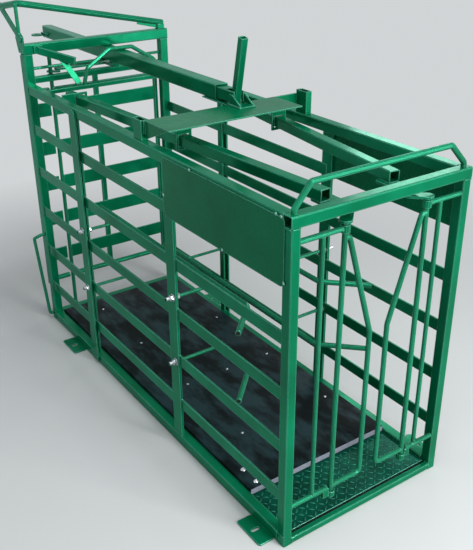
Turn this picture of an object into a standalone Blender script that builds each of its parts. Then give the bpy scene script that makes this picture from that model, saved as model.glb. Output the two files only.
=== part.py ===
# Sheep drafting crate: a welded tube crate with a V gate at the exit, a swing gate at the entry,
# a lever with its push bar on top, and four inner side rails that narrow the race.
# Metres. +X points towards the exit, -Y is the near side, +Z is up, and the ground is Z = 0.
import math

import bmesh
import bpy
from mathutils import Matrix, Vector

# Frame
FRAME_LENGTH = 1.700
FRAME_WIDTH = 0.636
SIDE_HEIGHT = 1.050
ENTRY_RISE = 0.155
POST_DEPTH = 0.035
EXIT_POST_WIDTH = 0.030
ENTRY_POST_WIDTH = 0.035
RAIL_WIDTH = 0.035
RAIL_HEIGHT = 0.035
BOTTOM_RAIL_HEIGHT = 0.038
EXIT_RAIL_HEIGHT = 0.034
EXIT_SILL_DEPTH = 0.020
EXIT_SILL_HEIGHT = 0.022
ENTRY_BAR_HEIGHT = 0.040
SECTION_RADIUS = 0.004
SECTION_WALL = 0.003
GAP = 0.0003
WELD_OVERLAP = 0.001
FRONT = FRAME_LENGTH / 2
REAR = -FRONT
SIDE = FRAME_WIDTH / 2
ENTRY_HEIGHT = SIDE_HEIGHT + ENTRY_RISE

# Side grilles
FLAT_COUNT = 5
FLAT_HEIGHT = 0.040
FLAT_THICKNESS = 0.005
FLAT_INSET = 0.005
MID_UPRIGHT_X = REAR + 0.450
MID_UPRIGHT_WIDTH = 0.030
MID_UPRIGHT_DEPTH = 0.006
FRONT_UPRIGHT_X = FRONT - 0.600
FRONT_UPRIGHT_WIDTH = 0.052
FRONT_STUD_X = FRONT_UPRIGHT_X + 0.009
STRAP_WIDTH = 0.050
STRAP_THICKNESS = 0.006
STRAP_FOOT = 0.012
PANEL_THICKNESS = 0.0025
PANEL_BOTTOM = SIDE_HEIGHT - 0.197
PANEL_TOP = SIDE_HEIGHT - 0.010
PANEL_REAR = FRONT - 0.615
PANEL_FRONT_MARGIN = 0.025
PANEL_RADIUS = 0.015

# Floor
PLATE_TOP = 0.026
PLATE_THICKNESS = 0.004
CROSS_MEMBER_WIDTH = 0.040
CROSS_MEMBER_COUNT = 3
CROSS_MEMBER_PITCH = 0.500
MAT_THICKNESS = 0.022
MAT_FRONT = FRONT - 0.214
MAT_REAR = REAR + 0.050
FOOT_THICKNESS = 0.005
FOOT_LENGTH = 0.120
FOOT_REACH = 0.055
FOOT_REAR_X = REAR + 0.290
FOOT_FRONT_X = FRONT - 0.105
FOOT_SLOT_LENGTH = 0.030
FOOT_SLOT_WIDTH = 0.012

# Exit V gate
EXIT_X = FRONT - 0.010
EXIT_CENTRE = 0.010
EXIT_SHAFT_OFFSET = 0.147
EXIT_BAR = 0.016
EXIT_NECK_HALF = 0.0335
EXIT_TOP_HALF = 0.131
EXIT_LEAF_BOTTOM = 0.140
EXIT_KNEE = SIDE_HEIGHT - 0.415
EXIT_LEAF_TOP = SIDE_HEIGHT - 0.100
EXIT_SHAFT_BOTTOM = 0.098
EXIT_BEND = 0.025
EXIT_OPEN = 80.0
EXIT_INFILL_TOP = SIDE_HEIGHT - 0.074
EXIT_INFILL_BOTTOM = 0.137
EXIT_INFILL_BAR = 0.014
EXIT_INFILL_Y = 0.210
LUG_WALL = 0.005
EXIT_LUG_HEIGHT = 0.022
EXIT_CRANK = 0.050
EXIT_CRANK_THICKNESS = 0.007
EXIT_CRANK_PIN = 0.012

# Link tubes that turn the exit leaves
LINK_SECTION = 0.035
LINK_WALL = 0.003
LINK_BOTTOM = SIDE_HEIGHT - 0.0375
LINK_FRONT = FRONT - 0.108
NEAR_LINK_REAR = (-0.641, -0.220)
NEAR_LINK_SLOPE = 0.0713
FAR_LINK_REAR = (-0.250, 0.2563)
FAR_LINK_SLOPE = -0.1316
FORK_THICKNESS = 0.007
GUIDE_THICKNESS = 0.006
GUIDE_CLEARANCE = 0.003
GUIDE_WALL = 0.008
NEAR_REAR_GUIDE_X = -0.560
FAR_REAR_GUIDE_X = -0.200

# Entry gate
ENTRY_X = REAR - 0.012
ENTRY_SHAFT_Y = -0.200
ENTRY_LEAF_END = 0.278
ENTRY_SHAFT = 0.016
ENTRY_SHAFT_TOP = SIDE_HEIGHT + 0.100
ENTRY_SHAFT_BOTTOM = 0.016
ENTRY_FLAT_HEIGHT = 0.056
ENTRY_FLAT_THICKNESS = 0.005
ENTRY_FLAT_LEVELS = (0.292, 0.460, 0.617, 0.772, 0.933)
ENTRY_TUBE = 0.022
ENTRY_TUBE_Z = 0.180
ENTRY_TOP_BAR = 0.018
ENTRY_TOP_BAR_Z = SIDE_HEIGHT - 0.040
ENTRY_STILE_Y = -0.005
ENTRY_STILE_WIDTH = 0.020
ENTRY_STILE_DEPTH = 0.017
ENTRY_END_STILE = 0.014
ENTRY_STILE_TOP = SIDE_HEIGHT - 0.005
ENTRY_INFILL_TOP = ENTRY_HEIGHT - 0.045
ENTRY_LUG_HEIGHT = 0.016
ENTRY_OPEN = 80.0
LINTEL = 0.025
LINTEL_TOP = SIDE_HEIGHT + 0.027
LINTEL_REAR_STEP = 0.005
TIE_ROD = 0.012
TIE_ROD_Z = SIDE_HEIGHT + 0.058
CRANK_THICKNESS = 0.006
ENTRY_CRANK_BOTTOM = LINTEL_TOP + 0.003
ENTRY_CRANK_PIN = 0.010

# Cross member, lever, beam housing and push bar
CROSS_REAR = 0.100
CROSS_FRONT = 0.250
CROSS_TOP = SIDE_HEIGHT + 0.064
CROSS_PLATE = 0.004
CROSS_WEB = 0.005
CROSS_WEB_HEIGHT = 0.042
CROSS_WEB_NEAR = -0.305
CROSS_PLATE_NEAR = -0.300
CROSS_PLATE_FAR = 0.195
CROSS_GUSSET_DROP = 0.054
STUB_OUTER = 0.312
STUB_DEPTH = 0.024
NEAR_STUB_LENGTH = 0.052
FAR_STUB_LENGTH = 0.055
FAR_STUB_TOP = CROSS_TOP + 0.012
BEAM_Y = 0.036
LEVER_X = 0.095
LEVER_PIVOT_Z = CROSS_TOP - 0.029
LEVER_SECTION = 0.025
LEVER_WALL = 0.003
LEVER_LEAN = 12.0
LEVER_SWING = 44.0
LEVER_REACH = 0.250
LEVER_TAIL = 0.018
LEVER_ARM = 0.055
LEVER_PIN = 0.012
DRIVE_PIN = 0.010
LUG_THICKNESS = 0.005
LUG_LENGTH = 0.040
BRACKET_PLATE = 0.004
BRACKET_LENGTH = 0.068
BRACKET_HEIGHT = 0.036
HOUSING = 0.050
HOUSING_WALL = 0.004
HOUSING_REAR = REAR - 0.610
HOUSING_FRONT = 0.022
SADDLE_REAR = -0.050
PUSH_WIDTH = 0.040
PUSH_HEIGHT = 0.038
PUSH_WALL = 0.004
PUSH_REAR = REAR + 0.050
FORK_START = 0.068
FORK_END = 0.122
EYE_RADIUS = 0.026
EYE_HOLE = 0.015
EYE_THICKNESS = 0.006
YOKE_WIDTH = 0.030
YOKE_THICKNESS = 0.008
YOKE_BLOCK = 0.030
YOKE_BLOCK_X = REAR + 0.090
REST_X = REAR + 0.150
REST_BAR = 0.016
REST_TOP = SIDE_HEIGHT
HOOP_BAR = 0.016

# Guards and the front hoop
FRONT_HOOP_BAR = 0.017
FRONT_HOOP_TOP = SIDE_HEIGHT + 0.071
FRONT_HOOP_FOOT = SIDE - 0.020
FRONT_HOOP_NEAR = -0.247
FRONT_HOOP_FAR = 0.240
GUARD_TUBE = 0.025
GUARD_HIGH = ENTRY_HEIGHT + 0.151
GUARD_LOW = ENTRY_HEIGHT + 0.0225
GUARD_REACH = 0.155
SIDE_GUARD_BAR = 0.014
SIDE_GUARD_TOP = 0.411
SIDE_GUARD_FOOT = 0.030
SIDE_GUARD_REACH = 0.039

# Inner side rails
RAIL_TUBE = 0.018
RAIL_LEVELS = (("lower", 0.340), ("upper", 0.580))
NEAR_RAIL_Y = -0.157
FAR_RAIL_Y = 0.130
RAIL_REAR = REAR + 0.264
RAIL_BEND_X = FRONT - 0.408
RAIL_FLARE = 0.120
RAIL_BEND = 0.040
STUD = 0.012
STUD_CLEARANCE = 0.001
STUD_END = SIDE + 0.027

# Rounding of turned and bent pieces
SIDES = 12
RUNNING = 0.0004

# Places that follow from the sizes above
RAIL_INNER = SIDE - RAIL_WIDTH
PLATE_HALF = RAIL_INNER - GAP
CROSS_UNDERSIDE = CROSS_TOP - CROSS_PLATE
BRACKET_BOTTOM = CROSS_TOP + GAP
HOUSING_BOTTOM = BRACKET_BOTTOM + GAP
HOUSING_TOP = HOUSING_BOTTOM + HOUSING
BEAM_Z = HOUSING_BOTTOM + HOUSING / 2
PUSH_BOTTOM = BEAM_Z - PUSH_HEIGHT / 2
LEVER_BACK = LEVER_SWING - LEVER_LEAN
PUSH_STROKE = LEVER_ARM * (math.sin(math.radians(LEVER_LEAN)) + math.sin(math.radians(LEVER_BACK)))
ENTRY_CRANK = PUSH_STROKE / (2 * math.sin(math.radians(ENTRY_OPEN / 2)))
EXIT_CRANK_TOP = LINK_BOTTOM - FORK_THICKNESS - 0.0055
LEVER_PIVOT = Vector((LEVER_X, BEAM_Y, LEVER_PIVOT_Z))
NEAR, FAR = -1, 1
SIDE_NAME = {NEAR: "near", FAR: "far"}
X_AXIS, Y_AXIS, Z_AXIS = Vector((1, 0, 0)), Vector((0, 1, 0)), Vector((0, 0, 1))


def clear_scene():
    for obj in list(bpy.data.objects):
        bpy.data.objects.remove(obj, do_unlink=True)


def make_material(name, color, roughness, metallic=0.0):
    material = bpy.data.materials.new(name)
    material.use_nodes = True
    shader = material.node_tree.nodes["Principled BSDF"]
    shader.inputs["Base Color"].default_value = (*color, 1.0)
    shader.inputs["Roughness"].default_value = roughness
    shader.inputs["Metallic"].default_value = metallic
    material.diffuse_color = (*color, 1.0)
    return material


def green_coat():
    return make_material("green_powder_coat", (0.004, 0.245, 0.130), 0.28)


def zinc():
    return make_material("zinc_plate", (0.62, 0.64, 0.66), 0.35, 1.0)


def black_rubber():
    return make_material("black_rubber", (0.020, 0.021, 0.023), 0.75)


def finish_object(name, bm, material):
    """Turns the working mesh into a named object with outward faces and smooth round stretches."""
    bmesh.ops.recalc_face_normals(bm, faces=bm.faces)
    mesh = bpy.data.meshes.new(name)
    bm.to_mesh(mesh)
    bm.free()
    mesh.materials.append(material)
    mesh.shade_smooth()
    mesh.set_sharp_from_angle(angle=math.radians(35))
    obj = bpy.data.objects.new(name, mesh)
    bpy.context.collection.objects.link(obj)
    return obj


def rounded_rectangle(width, height, radius, steps=2, centre=(0.0, 0.0)):
    """Outline of a rectangle whose corners are arcs, counterclockwise."""
    if radius <= 0:
        steps = 0
    points = []
    for quarter, (sx, sy) in enumerate(((1, -1), (1, 1), (-1, 1), (-1, -1))):
        for step in range(steps + 1):
            angle = math.radians(-90 + 90 * quarter + (90 * step / steps if steps else 0))
            points.append((centre[0] + sx * (width / 2 - radius) + radius * math.cos(angle),
                           centre[1] + sy * (height / 2 - radius) + radius * math.sin(angle)))
    return points


def circle(radius, sides=SIDES, centre=(0.0, 0.0)):
    return [(centre[0] + radius * math.cos(2 * math.pi * k / sides),
             centre[1] + radius * math.sin(2 * math.pi * k / sides)) for k in range(sides)]


def link_outline(radius_a, radius_b, length, steps=6):
    """Outline of a link: a round end at the origin, a round end at length, and tangents between."""
    lean = math.acos((radius_a - radius_b) / length)
    points = []
    for step in range(steps + 1):
        angle = lean + (2 * math.pi - 2 * lean) * step / steps
        points.append((radius_a * math.cos(angle), radius_a * math.sin(angle)))
    for step in range(steps + 1):
        angle = -lean + 2 * lean * step / steps
        points.append((length + radius_b * math.cos(angle), radius_b * math.sin(angle)))
    return points


def prism(name, outline, origin, u, v, depth, material, hole=None):
    """Pushes an outline, drawn along u and v from the origin, along u x v. A hole outline with as
    many points as the outline makes it a tube."""
    u, v = Vector(u).normalized(), Vector(v).normalized()
    along = u.cross(v) * depth
    base = Vector(origin)
    bm = bmesh.new()

    def ring(points, shift):
        return [bm.verts.new(base + shift + u * x + v * y) for x, y in points]

    def wall(low, high):
        for k in range(len(low)):
            bm.faces.new((low[k - 1], low[k], high[k], high[k - 1]))

    start, end = ring(outline, Vector()), ring(outline, along)
    wall(start, end)
    if hole is None:
        bm.faces.new(start)
        bm.faces.new(end)
    else:
        inner_start, inner_end = ring(hole, Vector()), ring(hole, along)
        wall(inner_start, inner_end)
        wall(start, inner_start)
        wall(end, inner_end)
    return finish_object(name, bm, material)


def box(name, low, high, material, radius=0.0, along="x", wall=0.0):
    """A bar between two corners, solid or a tube, with its four long edges rounded."""
    low, high = Vector(low), Vector(high)
    size, middle = high - low, (low + high) / 2
    u, v, n = {"x": (Y_AXIS, Z_AXIS, 0), "y": (Z_AXIS, X_AXIS, 1), "z": (X_AXIS, Y_AXIS, 2)}[along]
    width, height = abs(size.dot(u)), abs(size.dot(v))
    origin = middle.copy()
    origin[n] = low[n]
    hole = None
    if wall:
        hole = rounded_rectangle(width - 2 * wall, height - 2 * wall, max(radius - wall, 0.0005))
    return prism(name, rounded_rectangle(width, height, radius), origin, u, v, size[n], material, hole)


def bar_between(name, start, end, width, height, material, radius=0.0, wall=0.0, up=Z_AXIS):
    """A straight bar of rectangular section, solid or hollow, between two points."""
    start, end = Vector(start), Vector(end)
    along = (end - start).normalized()
    u = Vector(up).cross(along).normalized()
    v = along.cross(u)
    hole = None
    if wall:
        hole = rounded_rectangle(width - 2 * wall, height - 2 * wall, max(radius - wall, 0.0005))
    return prism(name, rounded_rectangle(width, height, radius), start, u, v, (end - start).length,
                 material, hole)


def rounded_path(points, radius, steps=4):
    """The same route with each corner turned into an arc of the given radius."""
    points = [Vector(p) for p in points]
    path = [points[0]]
    for before, corner, after in zip(points, points[1:], points[2:]):
        into, out = (corner - before).normalized(), (after - corner).normalized()
        turn = into.angle(out)
        axis = into.cross(out).normalized()
        centre = corner + (out - into).normalized() * (radius / math.cos(turn / 2))
        spoke = corner - into * (radius * math.tan(turn / 2)) - centre
        for step in range(steps + 1):
            path.append(centre + Matrix.Rotation(turn * step / steps, 3, axis) @ spoke)
    path.append(points[-1])
    return path


def round_bar(name, path, diameter, material, sides=SIDES):
    """A round bar along a path: one ring of points square to the path at each step."""
    path = [Vector(p) for p in path]
    bm = bmesh.new()
    rings = []
    spoke = None
    for k, point in enumerate(path):
        into = (point - path[k - 1]).normalized() if k else (path[1] - point).normalized()
        out = (path[k + 1] - point).normalized() if k + 1 < len(path) else into
        tangent = (into + out).normalized()
        if spoke is None:
            helper = X_AXIS if abs(tangent.x) < 0.8 else Y_AXIS
            spoke = tangent.cross(helper).normalized()
        spoke = (spoke - tangent * spoke.dot(tangent)).normalized()
        cross = tangent.cross(spoke)
        stretch = 1 / max(math.cos(into.angle(out, 0.0) / 2), 0.5)
        bend_side = (out - into)
        ring = []
        for j in range(sides):
            angle = 2 * math.pi * j / sides
            offset = (spoke * math.cos(angle) + cross * math.sin(angle)) * (diameter / 2)
            if bend_side.length > 1e-6:
                side = bend_side.normalized()
                offset += side * (offset.dot(side) * (stretch - 1))
            ring.append(bm.verts.new(point + offset))
        rings.append(ring)
    for low, high in zip(rings, rings[1:]):
        for j in range(sides):
            bm.faces.new((low[j - 1], low[j], high[j], high[j - 1]))
    bm.faces.new(rings[0])
    bm.faces.new(rings[-1])
    return finish_object(name, bm, material)


def combine(base, tools, operation):
    """Joins the tools to the base, or cuts them from it, and keeps one object."""
    for tool in tools:
        step = base.modifiers.new(operation.lower(), "BOOLEAN")
        step.operation = operation
        step.solver = "EXACT"
        step.object = tool
    bpy.context.view_layer.update()
    graph = bpy.context.evaluated_depsgraph_get()
    mesh = bpy.data.meshes.new_from_object(base.evaluated_get(graph))
    base.modifiers.clear()
    base.data = mesh
    mesh.name = base.name
    for tool in tools:
        bpy.data.objects.remove(tool, do_unlink=True)
    return base


def weld(base, parts):
    return combine(base, parts, "UNION")


def cut(base, cutters):
    return combine(base, cutters, "DIFFERENCE")


def place_on_joint(objects, name, pivot):
    """Parents the pieces of one moving body to an empty on the joint's axis."""
    joint = bpy.data.objects.new(name, None)
    joint.empty_display_size = 0.05
    joint.location = pivot
    bpy.context.collection.objects.link(joint)
    bpy.context.view_layer.update()
    for obj in objects:
        obj.parent = joint
        obj.matrix_parent_inverse = joint.matrix_world.inverted()


def lug(name, centre, shaft, height, material):
    """A ring that a round shaft turns in, standing on the point at its underside's centre."""
    inner = (shaft / 2 + RUNNING) / math.cos(math.pi / SIDES)
    return prism(name, circle(inner + LUG_WALL), centre, X_AXIS, Y_AXIS, height, material,
                 circle(inner))


def build_portals(green):
    for side in (NEAR, FAR):
        y0, y1 = sorted((side * SIDE, side * (SIDE - EXIT_POST_WIDTH)))
        box("front_post_" + SIDE_NAME[side], (FRONT - POST_DEPTH, y0, 0),
            (FRONT, y1, SIDE_HEIGHT - EXIT_RAIL_HEIGHT - GAP), green, SECTION_RADIUS, "z", SECTION_WALL)
        y0, y1 = sorted((side * SIDE, side * (SIDE - ENTRY_POST_WIDTH)))
        box("rear_post_" + SIDE_NAME[side], (REAR, y0, 0),
            (REAR + POST_DEPTH, y1, ENTRY_HEIGHT - ENTRY_BAR_HEIGHT - GAP), green, SECTION_RADIUS, "z",
            SECTION_WALL)
    box("front_top_rail", (FRONT - POST_DEPTH, -SIDE, SIDE_HEIGHT - EXIT_RAIL_HEIGHT),
        (FRONT, SIDE, SIDE_HEIGHT), green, SECTION_RADIUS, "y", SECTION_WALL)
    half = SIDE - EXIT_POST_WIDTH - GAP
    box("front_bottom_rail", (FRONT - EXIT_SILL_DEPTH, -half, 0), (FRONT, half, EXIT_SILL_HEIGHT),
        green, SECTION_RADIUS, "y", SECTION_WALL)
    box("rear_top_bar", (REAR, -SIDE, ENTRY_HEIGHT - ENTRY_BAR_HEIGHT),
        (REAR + POST_DEPTH, SIDE, ENTRY_HEIGHT), green, SECTION_RADIUS, "y", SECTION_WALL)
    half = SIDE - ENTRY_POST_WIDTH - GAP
    rod_x = REAR + 0.015
    round_bar("entry_tie_rod", [(rod_x, -half, TIE_ROD_Z), (rod_x, half, TIE_ROD_Z)], TIE_ROD, green)
    sill = box("rear_bottom_rail", (REAR, -half, 0), (REAR + POST_DEPTH, half, BOTTOM_RAIL_HEIGHT),
               green, SECTION_RADIUS, "y", SECTION_WALL)
    lintel_rear = REAR + LINTEL_REAR_STEP
    lintel = box("entry_lintel", (lintel_rear, -half, LINTEL_TOP - LINTEL),
                 (lintel_rear + LINTEL, half, LINTEL_TOP), green, SECTION_RADIUS, "y", SECTION_WALL)
    weld(lintel, shaft_bearing(lintel_rear, LINTEL_TOP - LINTEL + 0.004, green))
    weld(sill, shaft_bearing(REAR, 0.014, green))


def shaft_bearing(face_x, bottom, green):
    """A lug of the entry shaft, with the block that reaches the bar behind it."""
    ring = lug("lug", (ENTRY_X, ENTRY_SHAFT_Y, bottom), ENTRY_SHAFT, ENTRY_LUG_HEIGHT, green)
    reach = ENTRY_SHAFT / 2 + RUNNING + LUG_WALL / 2
    block = box("block", (ENTRY_X + reach, ENTRY_SHAFT_Y - 0.006, bottom + 0.001),
                (face_x + 0.002, ENTRY_SHAFT_Y + 0.006, bottom + ENTRY_LUG_HEIGHT - 0.001), green)
    return [ring, block]


def stud_cutters(side, x_positions, green):
    cutters = []
    reach = STUD_END + 0.02
    for x in x_positions:
        for _, level in RAIL_LEVELS:
            cutters.append(round_bar("hole", [(x, side * (RAIL_INNER - 0.05), level),
                                              (x, side * reach, level)],
                                     STUD + 2 * STUD_CLEARANCE, green))
    return cutters


def build_side(side, green):
    """Top and bottom rail, grille with its uprights, strap and sheet panel of one side."""
    name = SIDE_NAME[side]
    start, end = REAR + POST_DEPTH + GAP, FRONT - POST_DEPTH - GAP

    def span(inner, outer):
        return sorted((side * inner, side * outer))

    y0, y1 = span(RAIL_INNER, SIDE)
    top = box(name + "_top_rail", (start, y0, SIDE_HEIGHT - RAIL_HEIGHT), (end, y1, SIDE_HEIGHT),
              green, SECTION_RADIUS, "x", SECTION_WALL)
    weld(top, [rear_link_guide(side, green)])
    box(name + "_bottom_rail", (start, y0, 0), (end, y1, BOTTOM_RAIL_HEIGHT), green, SECTION_RADIUS, "x",
        SECTION_WALL)

    flat_outer = SIDE - FLAT_INSET
    flat_inner = flat_outer - FLAT_THICKNESS
    low, high = BOTTOM_RAIL_HEIGHT + GAP, SIDE_HEIGHT - RAIL_HEIGHT - GAP
    y0, y1 = span(flat_inner - MID_UPRIGHT_DEPTH, flat_inner + WELD_OVERLAP)
    mid = box(name + "_side_grille", (MID_UPRIGHT_X - MID_UPRIGHT_WIDTH / 2, y0, low),
              (MID_UPRIGHT_X + MID_UPRIGHT_WIDTH / 2, y1, high), green, 0.001, "z")
    y0, y1 = span(flat_inner + WELD_OVERLAP, SIDE)
    parts = [box("upright", (FRONT_UPRIGHT_X - FRONT_UPRIGHT_WIDTH / 2, y0, low),
                 (FRONT_UPRIGHT_X + FRONT_UPRIGHT_WIDTH / 2, y1, high), green, 0.001, "z")]
    pitch = SIDE_HEIGHT / (FLAT_COUNT + 1)
    y0, y1 = span(flat_inner, flat_outer)
    for k in range(1, FLAT_COUNT + 1):
        last = FRONT_UPRIGHT_X if k == FLAT_COUNT else end
        parts.append(box("flat", (start, y0, k * pitch - FLAT_HEIGHT / 2),
                         (last, y1, k * pitch + FLAT_HEIGHT / 2), green))
    weld(mid, parts)
    cut(mid, stud_cutters(side, (MID_UPRIGHT_X, FRONT_STUD_X), green))

    radius = STRAP_WIDTH / 2
    top_centre = SIDE_HEIGHT - 0.005 - radius
    outline = [(-radius, STRAP_FOOT), (radius, STRAP_FOOT)]
    outline += [(radius * math.cos(math.pi * k / 10), top_centre + radius * math.sin(math.pi * k / 10))
                for k in range(11)]
    face = -(SIDE + GAP) if side == NEAR else SIDE + GAP + STRAP_THICKNESS
    strap = prism(name + "_strap", outline, (MID_UPRIGHT_X, face, 0), X_AXIS, Z_AXIS,
                  STRAP_THICKNESS, green)
    cut(strap, stud_cutters(side, (MID_UPRIGHT_X,), green))

    panel_front = FRONT - PANEL_FRONT_MARGIN
    centre = ((PANEL_REAR + panel_front) / 2, (PANEL_BOTTOM + PANEL_TOP) / 2)
    outline = rounded_rectangle(panel_front - PANEL_REAR, PANEL_TOP - PANEL_BOTTOM, PANEL_RADIUS, 4)
    face = -(SIDE + GAP) if side == NEAR else SIDE + GAP + PANEL_THICKNESS
    prism(name + "_sheet_panel", outline, (centre[0], face, centre[1]), X_AXIS, Z_AXIS,
          PANEL_THICKNESS, green)

    for place, x in (("rear", FOOT_REAR_X), ("front", FOOT_FRONT_X)):
        y0, y1 = span(SIDE + GAP, SIDE + GAP + FOOT_REACH)
        tab = prism("foot_tab_%s_%s" % (name, place),
                    rounded_rectangle(FOOT_LENGTH, y1 - y0, 0.006), (x, (y0 + y1) / 2, 0), X_AXIS,
                    Y_AXIS, FOOT_THICKNESS, green)
        straight = (FOOT_SLOT_LENGTH - FOOT_SLOT_WIDTH) / 2
        slot = [(FOOT_SLOT_WIDTH / 2 * math.cos(math.radians(a)),
                 (straight if a <= 180 else -straight) + FOOT_SLOT_WIDTH / 2 * math.sin(math.radians(a)))
                for a in (0, 45, 90, 135, 180, 180.01, 225, 270, 315, 359.99)]
        cut(tab, [prism("slot", slot, (x, (y0 + y1) / 2, -FOOT_THICKNESS), X_AXIS, Y_AXIS,
                        3 * FOOT_THICKNESS, green)])


def link_line(side):
    rear, slope = (NEAR_LINK_REAR, NEAR_LINK_SLOPE) if side == NEAR else (FAR_LINK_REAR, FAR_LINK_SLOPE)
    return rear[0], rear[1], slope


def link_y(side, x):
    rear_x, rear_y, slope = link_line(side)
    return rear_y + slope * (x - rear_x)


def guide_ring(side, x, top, reach_to=None, material=None):
    """A plate across the race with a square hole that a link tube slides through."""
    y = link_y(side, x)
    half_hole = LINK_SECTION / 2 + GUIDE_CLEARANCE
    low = LINK_BOTTOM - GUIDE_CLEARANCE - GUIDE_WALL
    y_low, y_high = y - half_hole - GUIDE_WALL, y + half_hole + GUIDE_WALL
    if reach_to is not None:
        y_low, y_high = min(y_low, reach_to), max(y_high, reach_to)
    plate = box("guide", (x - GUIDE_THICKNESS / 2, y_low, low), (x + GUIDE_THICKNESS / 2, y_high, top),
                material)
    hole = box("hole", (x - GUIDE_THICKNESS, y - half_hole, LINK_BOTTOM - GUIDE_CLEARANCE),
               (x + GUIDE_THICKNESS, y + half_hole, LINK_BOTTOM + LINK_SECTION + GUIDE_CLEARANCE),
               material)
    return cut(plate, [hole])


def rear_link_guide(side, green):
    x = NEAR_REAR_GUIDE_X if side == NEAR else FAR_REAR_GUIDE_X
    top = LINK_BOTTOM + LINK_SECTION + GUIDE_CLEARANCE + GUIDE_WALL
    return guide_ring(side, x, top, side * (RAIL_INNER + 0.002), green)


def build_floor(green, rubber):
    plate = box("floor_plate", (REAR + POST_DEPTH + GAP, -PLATE_HALF, PLATE_TOP - PLATE_THICKNESS),
                (FRONT - EXIT_SILL_DEPTH - 0.004, PLATE_HALF, PLATE_TOP), green)
    members = []
    for k in range(CROSS_MEMBER_COUNT):
        x = (k - (CROSS_MEMBER_COUNT - 1) / 2) * CROSS_MEMBER_PITCH
        half = PLATE_HALF - 0.001
        members.append(box("member", (x - CROSS_MEMBER_WIDTH / 2, -half, 0),
                           (x + CROSS_MEMBER_WIDTH / 2, half, PLATE_TOP - PLATE_THICKNESS / 2),
                           green))
    weld(plate, members)
    box("rubber_mat", (MAT_REAR, -PLATE_HALF, PLATE_TOP + GAP),
        (MAT_FRONT, PLATE_HALF, PLATE_TOP + GAP + MAT_THICKNESS), rubber, 0.002, "y")


def build_exit_gate(green):
    crank_low = EXIT_CRANK_TOP - EXIT_CRANK_THICKNESS
    lean = math.radians(90 - EXIT_OPEN / 2)
    for side in (NEAR, FAR):
        name = SIDE_NAME[side]
        shaft_y = EXIT_CENTRE + side * EXIT_SHAFT_OFFSET
        neck_y = EXIT_CENTRE + side * EXIT_NECK_HALF
        top_y = EXIT_CENTRE + side * EXIT_TOP_HALF
        shaft = round_bar("exit_leaf_" + name,
                          [(EXIT_X, shaft_y, EXIT_SHAFT_BOTTOM),
                           (EXIT_X, shaft_y, EXIT_CRANK_TOP - 0.001)], EXIT_BAR, green)
        bent = round_bar("bent", rounded_path([(EXIT_X, shaft_y, EXIT_LEAF_BOTTOM),
                                               (EXIT_X, neck_y, EXIT_LEAF_BOTTOM),
                                               (EXIT_X, neck_y, EXIT_KNEE),
                                               (EXIT_X, top_y, EXIT_LEAF_TOP),
                                               (EXIT_X, shaft_y, EXIT_LEAF_TOP)],
                                              EXIT_BEND * 0.6, 3), EXIT_BAR * 0.98, green)
        arm = Vector((-math.cos(lean), -side * math.sin(lean), 0))
        crank = prism("crank", link_outline(EXIT_BAR / 2 + 0.010, EXIT_CRANK_PIN / 2 + 0.008, EXIT_CRANK),
                      (EXIT_X, shaft_y, crank_low), arm, Z_AXIS.cross(arm), EXIT_CRANK_THICKNESS, green)
        pin_at = Vector((EXIT_X, shaft_y, 0)) + arm * EXIT_CRANK
        pin = round_bar("pin", [(pin_at.x, pin_at.y, crank_low + 0.002),
                                (pin_at.x, pin_at.y, LINK_BOTTOM - 0.0005)], EXIT_CRANK_PIN, green)
        leaf = weld(shaft, [bent, crank, pin])
        place_on_joint([leaf], "exit_%s_pivot" % name, (EXIT_X, shaft_y, EXIT_LEAF_BOTTOM))
        build_exit_infill(side, shaft_y, green)
        build_link(side, pin_at, green)


def build_exit_infill(side, shaft_y, green):
    """The fixed bars between a front post and its shaft, with the lugs that hold the shaft."""
    post_face = side * (SIDE - EXIT_POST_WIDTH - GAP)
    ring_reach = EXIT_BAR / 2 + RUNNING + LUG_WALL / 2
    top = round_bar("exit_infill_" + SIDE_NAME[side],
                    [(EXIT_X, post_face, EXIT_INFILL_TOP),
                     (EXIT_X, shaft_y + side * ring_reach, EXIT_INFILL_TOP)], EXIT_BAR, green)
    bottom = round_bar("bottom", [(EXIT_X, post_face, EXIT_INFILL_BOTTOM),
                                  (EXIT_X, shaft_y + side * 0.016, EXIT_INFILL_BOTTOM)],
                       EXIT_BAR, green)
    upright = round_bar("upright", [(EXIT_X, side * EXIT_INFILL_Y, EXIT_INFILL_BOTTOM),
                                    (EXIT_X, side * EXIT_INFILL_Y, EXIT_INFILL_TOP)],
                        EXIT_INFILL_BAR, green)
    low_ring = EXIT_LEAF_BOTTOM - EXIT_BAR / 2 - 0.004 - EXIT_LUG_HEIGHT
    rings = [lug("lug", (EXIT_X, shaft_y, EXIT_INFILL_TOP - EXIT_LUG_HEIGHT / 2), EXIT_BAR,
                 EXIT_LUG_HEIGHT, green),
             lug("lug", (EXIT_X, shaft_y, low_ring), EXIT_BAR, EXIT_LUG_HEIGHT - 0.004, green)]
    y0, y1 = sorted((shaft_y + side * ring_reach, shaft_y + side * 0.032))
    drop = box("drop", (EXIT_X - 0.006, y0, low_ring + 0.001), (EXIT_X + 0.006, y1, EXIT_INFILL_BOTTOM),
               green)
    weld(top, [bottom, upright, drop] + rings)


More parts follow.
